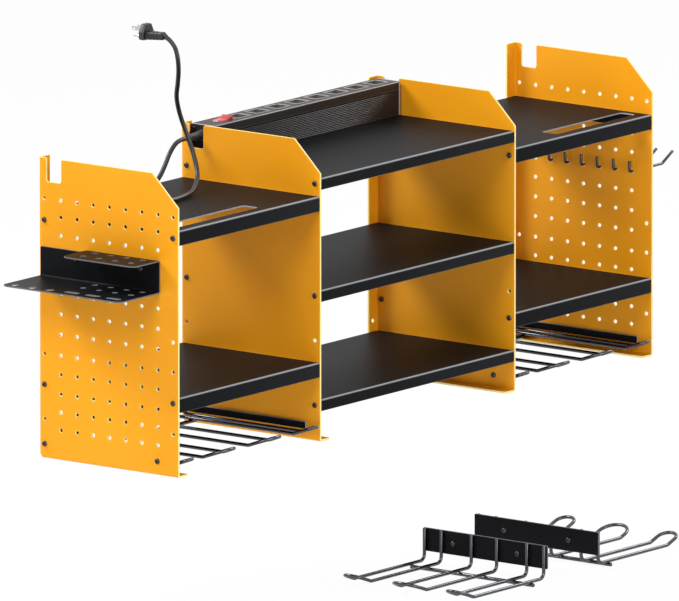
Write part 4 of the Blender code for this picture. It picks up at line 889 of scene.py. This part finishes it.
TRAY_ROWS = (361, 112)
CENTRE_ROWS = (391, 220.5, 54.5)
RACK_PLACES = [(-222.4, 21), (WALL_COLUMN, 22)]
HOLDER_BOLT_Z, HOLDER_BOLT_ROWS = 308.4, (-193.2, -71.7)
side_places = [(y, z) for y in (FRONT_COLUMN, WALL_COLUMN) for z in TRAY_ROWS] + RACK_PLACES
centre_places = [(y, z) for y in (FRONT_COLUMN, WALL_COLUMN) for z in CENTRE_ROWS]
for side, way in (("left", -1), ("right", 1)):
    bolts(f"bolts_{side}_end", [((way * HALF_WIDTH, y, z), way) for y, z in side_places])
    outer_face, inner_face = way * -INNER, way * (-INNER - SHEET)
    heads = [((outer_face, y, z), way) for y, z in centre_places]
    heads += [((inner_face, y, z), -way) for y, z in side_places]
    bolts(f"bolts_{side}_inner", heads)
holder_web = box("tool_holder")[1].x - HOLDER_SHEET
bolts("bolts_holder", [((holder_web, y, HOLDER_BOLT_Z), -1) for y in HOLDER_BOLT_ROWS])
bolts("bolts_spare_racks", [(place, -1) for place in spare_bolts])
on_panels = 2 * (2 * len(side_places) + len(centre_places))
print("bolt heads:", on_panels + len(HOLDER_BOLT_ROWS) + len(spare_bolts))

# %% [markdown]
# ## Power strip
# The strip is a long moulded housing with fine ribs along its sides, a lid with eight
# outlets, a cap at each end, and a red rocker switch. A rib is a wave in the housing's
# outline: the depth is half of 0.8 mm times one minus the cosine of the height over the
# pitch. The outline is a U with thick walls, and it is drawn out along the strip.

# %% Strip housing and lid
cap_low, cap_high = box("strip_cap_left")
STRIP_START, STRIP_END = cap_low.x, box("strip_cap_right")[1].x
WALL_FACE, FRONT_FACE, STRIP_TOP = cap_high.y, cap_low.y, cap_high.z
STRIP_MIDDLE = (WALL_FACE + FRONT_FACE) / 2
housing_low, housing_high = box("strip_housing")
cover_low, cover_high = box("strip_cover")
OUTLETS = -138 + 48.6 * np.arange(8)
OPENING_HALF, FRAME_HALF = np.array([14.6, 11.6]), np.array([17, 14])
OPENING_CORNER = 2.2
SWITCH_X = -174
SWITCH_OPENING_HALF = np.array([16.8, 9.5])
RIBS, RIB_DEEP, RIB_MARGIN, HOUSING_WALL = 14, 0.8, 1, 2.8
LID_SIDE, LID_CAP, LID_FOLD = 2, 3, 2
BLADE_SPREAD, SLOT_WIDE, SLOT_NEAR, SLOT_FAR = 12.7, 1.8, 2.55, 9.35
EARTH_NEAR, EARTH_FAR, EARTH_HALF = 3.6, 8.6, 2.5


def strip_housing():
    """The U's outline in the plane of y and z: a ribbed front and back, and a smooth inside."""
    low, top = housing_low.z, housing_high.z
    share = np.linspace(0, 1, RIBS * 8 + 1)
    ribbed = low + RIB_MARGIN + (top - low - 2 * RIB_MARGIN) * share
    z = np.concatenate([[low], ribbed, [top]])
    deep = np.concatenate([[0], RIB_DEEP / 2 * (1 - np.cos(math.tau * RIBS * share)), [0]])
    front, back = np.c_[FRONT_FACE + deep, z], np.c_[WALL_FACE - deep, z]
    near, far, floor = FRONT_FACE + HOUSING_WALL, WALL_FACE - HOUSING_WALL, low + HOUSING_WALL
    inner = [(near, top), (near, floor), (far, floor), (far, top)]
    outline = np.concatenate([front, inner, back[::-1]])
    part = plate(outline, [], housing_low.x, housing_high.x, 0.15)[:2]
    build("ribbed_housing", [laid(part, YZ)], CHARCOAL_ABS, ["strip_housing"])


def framed(x, half, shrink=0.0, corner=OPENING_CORNER):
    """A rounded rectangle about the strip's middle line, each half size less what it shrinks by."""
    along, across = half - shrink
    return rectangle(x - along, STRIP_MIDDLE - across, x + along, STRIP_MIDDLE + across,
                     corner - shrink, 4)


def strip_lid():
    """A shallow tray with an opening for the rocker and for each outlet, which has a raised frame."""
    openings = [framed(x, OPENING_HALF) for x in OUTLETS]
    openings.append(framed(SWITCH_X, SWITCH_OPENING_HALF, corner=1.2))
    lid = dished(cover_low.x, FRONT_FACE, cover_high.x, WALL_FACE, STRIP_TOP, cover_low.z,
                 LID_SIDE, LID_CAP, LID_FOLD, openings)
    frames = [plate(framed(x, FRAME_HALF), [framed(x, OPENING_HALF, 0.3)],
                    STRIP_TOP - 2, cover_high.z, 0.6) for x in OUTLETS]
    build("strip_lid", [lid, *frames], CHARCOAL_ABS, ["strip_cover"])


def outlet_faces():
    """Each face is a small plate with two blade slots and an earth hole that is round on one side."""
    faces = []
    for x in OUTLETS:
        holes = []
        for y in (STRIP_MIDDLE - BLADE_SPREAD / 2, STRIP_MIDDLE + BLADE_SPREAD / 2):
            holes.append(rectangle(x - SLOT_FAR, y - SLOT_WIDE / 2, x - SLOT_NEAR, y + SLOT_WIDE / 2,
                                   0.3, 2))
        holes.append(rectangle(x + EARTH_NEAR, STRIP_MIDDLE - EARTH_HALF, x + EARTH_FAR,
                               STRIP_MIDDLE + EARTH_HALF, [0.5, 2.4, 2.4, 0.5]))
        faces.append(plate(framed(x, OPENING_HALF, 0.45), holes, STRIP_TOP - 2.8,
                           STRIP_TOP - 0.4, 0.35))
    build("outlet_faces", faces, OUTLET_ABS)


strip_housing()
strip_lid()
outlet_faces()
print("outlets at", [round(x, 1) for x in OUTLETS], "mm")

# %% [markdown]
# The caps are plates with two rounded corners, held by small screws. The rocker is a
# shallow V in section, rounded at its tips, that rests with its left end pressed in. The
# strain relief is turned: a neck through the cap, a collar, and a tapering sleeve whose
# grooves let it bend.

# %% Caps, rocker and strain relief
GLAND_Y, GLAND_Z, GLAND_HOLE = -28, 437, 4.8
CAP_SCREWS = [(y, z) for z in (446, 406) for y in (-43, -11)]
PIVOT_Z, ROCKER_TILT = 445.5, math.radians(11)
ROCKER_SECTION = ((-14.5, -1.5), (-5.5, -5.5), (5.5, -5.5), (14.5, -1.5), (14.5, 10.3), (0, 7.8),
                  (-14.5, 10.3))
ROCKER_RADII = (1.3, 1.5, 1.5, 1.3, 1.8, 20, 1.8)
ROCKER_HALF_WIDE, PIN_HALF_LONG, PIN_RADIUS = 9, 10.4, 1.5
COLLAR = ((0, -6), (4.5, -6), (4.5, 0), (7.4, 0), (8, 0.6), (8, 2.4), (7.4, 3))
TIP = ((4.2, 39.4), (3.6, 39.8), (0, 39.8))


def strip_cap(name, way):
    """A plate in the plane of y and z with its two upper corners rounded, and four screw heads."""
    low, high = box(name)
    outline = rectangle(low.y, low.z, high.y, high.z, [0.8, 0.8, 2, 2], 4)
    holes = [circle(GLAND_Y, GLAND_Z, GLAND_HOLE)] if way < 0 else []
    build(name + "_moulding", [laid(plate(outline, holes, low.x, high.x, 0.45), YZ)],
          CHARCOAL_ABS, [name])
    face = low.x if way < 0 else high.x
    build(name + "_screws", [bolt((face, y, z), way, 0.6) for y, z in CAP_SCREWS], BLACK_OXIDE)


def rocker():
    """The section as a thick plate, with its pin, turned about the pivot to where it rests."""
    pivot = np.array([SWITCH_X, STRIP_MIDDLE, PIVOT_Z])
    outline = softened(ROCKER_SECTION, ROCKER_RADII)
    body = plate(outline, [], -ROCKER_HALF_WIDE, ROCKER_HALF_WIDE, 0.7)[:2]
    pin = tube([(0, -PIN_HALF_LONG, 0), (0, PIN_HALF_LONG, 0)], PIN_RADIUS, 12, 0.3)
    turn = np.array(Matrix.Rotation(-ROCKER_TILT, 3, "Y")).T
    build("red_rocker", [laid(body, XZ @ turn, pivot), laid(pin, turn, pivot)], RED_POLYCARBONATE,
          ["strip_rocker"], "rocker")


def strain_relief():
    """Radius of the sleeve: a straight taper from 7 to 4.5 mm, less 0.9 mm in each groove."""
    along = np.linspace(3, 38.6, 73)
    taper = 7 - 2.5 * (along - 3) / 36.8
    groove = np.clip(np.sin((along - 3) / 4.45 * math.tau) * 4, 0, 1)
    groove *= (along > 4.5) & (along < 37)
    rings = np.vstack([COLLAR, np.c_[taper - 0.9 * groove, along], TIP])
    part = turned(rings[:, 0], rings[:, 1], (STRIP_START - 0.3, GLAND_Y, GLAND_Z), (-1, 0, 0))
    build("strain_relief", [part], BLACK_NYLON, ["strip_gland"])


strip_cap("strip_cap_left", -1)
strip_cap("strip_cap_right", 1)
rocker()
strain_relief()
print("strip from", round(STRIP_START), "to", round(STRIP_END), "mm")

# %% [markdown]
# ## Cord
# The cord is one tube of real length: out of the gland, down to the left top shelf,
# round a neat coil of two layers behind the left end panel, and up the wall to the plug.
# The three stretches meet end to end in the model, so here they are one line, in metres
# as there.

# %% Cord
CORD = 7.0
COIL_X, COIL_Y = -0.502, -0.078
COIL_INNER, COIL_OUTER = 0.029, 0.046
COIL_LIFT = 0.0075
COIL_TURNS = 4.5
STRIP_RUN_ROUTE = (
    (-0.2654, -0.0280, 0.4370),
    (-0.2740, -0.0280, 0.4370),
    (-0.2900, -0.0283, 0.4335),
    (-0.3060, -0.0290, 0.4215),
    (-0.3200, -0.0300, 0.4040),
    (-0.3360, -0.0310, 0.3880),
    (-0.3560, -0.0316, 0.3792),
    (-0.3800, -0.0320, 0.3768),
    (-0.4300, -0.0322, 0.3768),
    (-0.4600, -0.0320, 0.3768),
    (-0.4860, -0.0320, 0.3768),
    (-0.4947, -0.0320, 0.3768),
)
WALL_RUN_ROUTE = (
    (-0.4947, -0.1240, 0.3843),
    (-0.4860, -0.1240, 0.3842),
    (-0.4600, -0.1232, 0.3810),
    (-0.4250, -0.1205, 0.3775),
    (-0.3850, -0.1150, 0.3770),
    (-0.3490, -0.1060, 0.3800),
    (-0.3180, -0.0900, 0.3960),
    (-0.3040, -0.0720, 0.4240),
    (-0.3060, -0.0590, 0.4570),
    (-0.3170, -0.0550, 0.4890),
    (-0.3310, -0.0610, 0.5150),
    (-0.3410, -0.0710, 0.5370),
    (-0.3520, -0.0810, 0.5610),
    (-0.3590, -0.0845, 0.5810),
    (-0.3600, -0.0805, 0.5950),
    (-0.3600, -0.0718, 0.6042),
    (-0.3600, -0.0648, 0.6083),
)


def mix(t, start, end, first, last):
    """The first point at the start, the last at the end, and straight between and beyond."""
    return ((end - t) * first + (t - start) * last) / (end - start)


def smooth_curve(route, fine=10):
    """Centripetal Catmull-Rom: knots a root of a chord apart, each point a mix of mixes of four."""
    p = np.asarray(route, float)
    p = np.vstack([2 * p[0] - p[1], p, 2 * p[-1] - p[-2]])
    knots = np.concatenate([[0], np.cumsum(np.sqrt(np.linalg.norm(np.diff(p, axis=0), axis=1)))])
    out = []
    for i in range(1, len(p) - 2):
        t0, t1, t2, t3 = knots[i - 1:i + 3]
        t = np.linspace(t1, t2, fine, endpoint=False)[:, None]
        a = [mix(t, knots[k], knots[k + 1], p[k], p[k + 1]) for k in (i - 1, i, i + 1)]
        out.append(mix(t, t1, t2, mix(t, t0, t2, a[0], a[1]), mix(t, t1, t3, a[1], a[2])))
    return np.vstack(out + [p[-2]])


def coil_curve(points_per_turn=48):
    """Radius falls and grows again steadily; height rises a layer in the half turn between."""
    total = int(COIL_TURNS * points_per_turn)
    index = np.arange(total + 1)
    angle = math.pi / 2 + math.tau * index / points_per_turn
    inward = 1 - np.abs(index - total / 2) / (total / 2)
    radius = COIL_OUTER - (COIL_OUTER - COIL_INNER) * inward
    rise = np.clip((index - total / 2) / (points_per_turn / 2) + 0.5, 0, 1)
    height = STRIP_RUN_ROUTE[-1][2] + COIL_LIFT * rise
    return np.c_[COIL_X + radius * np.cos(angle), COIL_Y + radius * np.sin(angle), height]


cord_path = np.vstack([smooth_curve(STRIP_RUN_ROUTE), coil_curve(), smooth_curve(WALL_RUN_ROUTE)])
cord_end = cord_path[-1] / MM

# %% [markdown]
# The plug is moulded round the cord's end in one shot: a flat base whose upper corners
# are cut off, a grip that narrows away from the wall with three finger ridges, and a
# ribbed tail that points down where the cord leaves. The grip is a loft: a rounded
# rectangle whose size and height change along its length. Blades and the round earth
# pin point to the wall; the blades have the usual small hole.

# %% Plug
earth_low, earth_high = box("plug_pin_earth")
PLUG_X = (earth_low.x + earth_high.x) / 2
PLUG_Z = cord_end[2] + 5.2
PLUG_FACE = box("plug_body")[1].y
BASE_HALF, BASE_TOP_HALF, BASE_HIGH, BASE_THICK = 13.5, 7.5, 12, 9
GRIP_LONG = 38
TAIL_TILT = math.radians(30)
TAIL_LONG, TAIL_RIB = 8.5, 1.7
BLADE_CORNER, BLADE_HOLE, BLADE_HOLE_FROM_TIP = 1.2, 1.4, 3.6
EARTH_PIN = ((0, 0), (2.4, 0), (2.4, 16.3), (2.2, 17.3), (1.6, 18.1), (0.8, 18.45), (0, 18.5))


def plug_base():
    """A plate in the plane of x and z, as wide as the base up to its middle and narrower above."""
    corners = [(-BASE_HALF, -BASE_HIGH), (BASE_HALF, -BASE_HIGH), (BASE_HALF, 0),
               (BASE_TOP_HALF, BASE_HIGH), (-BASE_TOP_HALF, BASE_HIGH), (-BASE_HALF, 0)]
    base = plate(softened(corners, [4] * 6), [], 0, BASE_THICK, 1.2)
    return laid(base, XZ, (PLUG_X, PLUG_FACE, PLUG_Z))


def plug_grip():
    """Section t: half width and height shrink along t; three ridges add a small sine. Each section
    is a superellipse of power four, which is a rectangle with well rounded corners."""
    t = np.concatenate([np.linspace(0, 0.96, 40), [0.985, 1.0, 1.0]])
    angles = angles_round(32)
    ridge = np.where((t > 0.3) & (t < 0.85), 0.5 * np.sin((t - 0.3) / 0.55 * 3 * math.tau), 0)
    close = np.ones_like(t)
    close[-3:] = 0.93, 0.8, 0.0
    half_wide = (9.5 - 4.0 * t + ridge) * close
    low = 12 - 2.5 * t
    high = 1.5 + 0.5 * t
    half_high = (low + high) / 2 * close
    middle = PLUG_Z + (high - low) / 2
    round_out = (np.abs(np.cos(angles)) ** 4 + np.abs(np.sin(angles)) ** 4) ** -0.25
    x = PLUG_X + half_wide[:, None] * (np.cos(angles) * round_out)
    z = middle[:, None] + half_high[:, None] * (np.sin(angles) * round_out)
    y = np.broadcast_to((PLUG_FACE - BASE_THICK / 2 - t * (GRIP_LONG - BASE_THICK / 2))[:, None], x.shape)
    points = np.stack([x, y, z], -1)
    first = points[:1].mean(axis=1, keepdims=True) * np.ones_like(points[:1])
    return grid_piece(np.concatenate([first, points]))


def plug_tail():
    """Turned about the cord: five rings of rubber that taper from 4.5 mm to the jacket."""
    along = np.linspace(0, TAIL_LONG, 31)
    rings = 0.3 * np.sin(along / TAIL_RIB * math.tau) * (along < 8)
    radius = np.maximum(4.5 - along / TAIL_LONG * 0.9 + rings, CORD / 2)
    radius = np.concatenate([[0], radius, [0]])
    along = np.concatenate([[0], along, [TAIL_LONG]])
    axis = np.array([0, -math.cos(TAIL_TILT), -math.sin(TAIL_TILT)])
    return turned(radius, along, cord_end - axis * TAIL_LONG, axis)


def plug_blade(name):
    """A thin plate in the plane of y and z with a round hole near its tip."""
    low, high = box(name)
    outline = rectangle(low.y, low.z, high.y, high.z, BLADE_CORNER)
    hole = circle(high.y - BLADE_HOLE_FROM_TIP, (low.z + high.z) / 2, BLADE_HOLE, 12)
    part = laid(plate(outline, [hole], low.x, high.x, 0.2), YZ)
    return build(name.replace("pin", "blade"), [part], NICKEL, [name])


def plug_earth_pin():
    """Turned: a straight pin whose tip is rounded."""
    rings = np.array(EARTH_PIN)
    base = (PLUG_X, earth_low.y, (earth_low.z + earth_high.z) / 2)
    part = turned(rings[:, 0], rings[:, 1], base, (0, 1, 0))
    return build("plug_blade_earth", [part], NICKEL, ["plug_pin_earth"])


plug = build("plug", [plug_base(), plug_grip(), plug_tail()], PVC_JACKET, ["plug_body"])
blades = [plug_blade("plug_pin_live"), plug_blade("plug_pin_neutral"), plug_earth_pin()]
cord = build("cord", [tube(cord_path / MM, CORD / 2, 14, dome=0)], PVC_JACKET,
             ["cord_strip_run", "cord_coil", "cord_wall_run"])
print("plug at", [round(v, 1) for v in (PLUG_X, PLUG_FACE, PLUG_Z)], "mm")

# %% [markdown]
# ## Finishes on the pieces that keep their shape
# The brass contact bars and the switch's tub lie inside the strip. Their plain shapes
# are right as they are, so they only get their material.

# %% Finishes on kept pieces
KEPT = {"strip_switch_body": BLACK_NYLON, "strip_bus_live": SPRING_BRASS,
        "strip_bus_neutral": SPRING_BRASS, "strip_bus_earth": SPRING_BRASS}
for name, finish in KEPT.items():
    NODES[name].data.materials.clear()
    NODES[name].data.materials.append(finish)
print("kept nodes:", len(KEPT))

# %% [markdown]
# ## Floor and light
# The photograph has no background at all, only white. So the floor is nearly white to the
# camera, by a white glow that only camera, mirror and refracted rays see, and it keeps a
# faint shadow. The sky is plain white in the same way, and dimmer as a light, so that a
# colour renders about as it is written. Four lamps do the rest: a broad key from the left
# and above, one beyond the wall's plane that draws a bright line along the wires, a low
# fill in front, and one from the right for the edges on that side.

# %% Floor
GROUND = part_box("loose_rack_a_rod")[0].z - 0.2 * MM
FLOOR_HALF = 9.0
FLOOR_GLOW = 0.94
SEEN_BY = ("Is Camera Ray", "Is Glossy Ray", "Is Transmission Ray")


def seen_rays(tree):
    """1 for the rays that the glow and the white sky are meant for, and 0 for all others."""
    rays = add_node(tree, "ShaderNodeLightPath").outputs
    seen = rays[SEEN_BY[0]]
    for kind in SEEN_BY[1:]:
        seen = add_node(tree, "ShaderNodeMath", {0: seen, 1: rays[kind]}, operation="MAXIMUM").outputs[0]
    return seen


def make_floor():
    """A wide matt plane of four squares under the lowest wires, that glows to the seen rays."""
    material, tree, shader = new_material("pale_matt_floor", roughness=0.9)
    tint(tree, shader, noise(tree, 600), "#F4F4F3", "#F9F9F8")
    share = add_node(tree, "ShaderNodeMath", {0: seen_rays(tree), 1: FLOOR_GLOW},
                     operation="MULTIPLY").outputs[0]
    white = add_node(tree, "ShaderNodeEmission", {"Color": linear("#FFFFFF"), "Strength": 1.0})
    mixed = add_node(tree, "ShaderNodeMixShader", {0: share, 1: shader.outputs[0], 2: white.outputs[0]})
    tree.links.new(mixed.outputs[0], tree.nodes["Material Output"].inputs["Surface"])
    places = (-FLOOR_HALF, 0, FLOOR_HALF)
    corners = [(x, y, GROUND) for y in places for x in places]
    mesh = bpy.data.meshes.new("floor")
    mesh.from_pydata(corners, [], [(0, 1, 4, 3), (1, 2, 5, 4), (3, 4, 7, 6), (4, 5, 8, 7)])
    mesh.materials.append(material)
    floor = bpy.data.objects.new("floor", mesh)
    bpy.context.scene.collection.objects.link(floor)


make_floor()
print("floor at", round(GROUND / MM, 1), "mm")

# %% Sky and lamps
SKY_STRENGTH = 0.24
RACK_MIDDLE = Vector((0, -0.13, 0.15))


def add_lamp(name, place, size, power):
    """A round area lamp that faces the middle of the rack."""
    data = bpy.data.lights.new(name, "AREA")
    data.shape = "DISK"
    data.size = size
    data.energy = power
    lamp = bpy.data.objects.new(name, data)
    bpy.context.scene.collection.objects.link(lamp)
    lamp.location = place
    lamp.rotation_euler = (RACK_MIDDLE - Vector(place)).to_track_quat("-Z", "Y").to_euler()


def make_sky():
    """White at full strength to the seen rays, and dimmer as a light."""
    world = bpy.data.worlds.new("sky")
    bpy.context.scene.world = world
    world.use_nodes = True
    tree = world.node_tree
    tree.nodes.clear()
    level = add_node(tree, "ShaderNodeMapRange", {
        "Value": seen_rays(tree), "To Min": SKY_STRENGTH, "To Max": 1.0})
    light = add_node(tree, "ShaderNodeBackground",
                     {"Color": linear("#FFFFFF"), "Strength": level.outputs[0]})
    out = add_node(tree, "ShaderNodeOutputWorld")
    tree.links.new(light.outputs[0], out.inputs[0])


make_sky()
add_lamp("key", (-4.2, -1.3, 3.6), 2.8, 114)
add_lamp("back", (-1.8, 3.1, 3.6), 2.0, 210)
add_lamp("fill", (-0.6, -3.2, 0.8), 1.8, 40)
add_lamp("rim", (4.7, -1.15, 3.6), 2.2, 160)
bpy.context.scene.view_settings.view_transform = "Standard"
print("lamps:", len(bpy.data.lights))
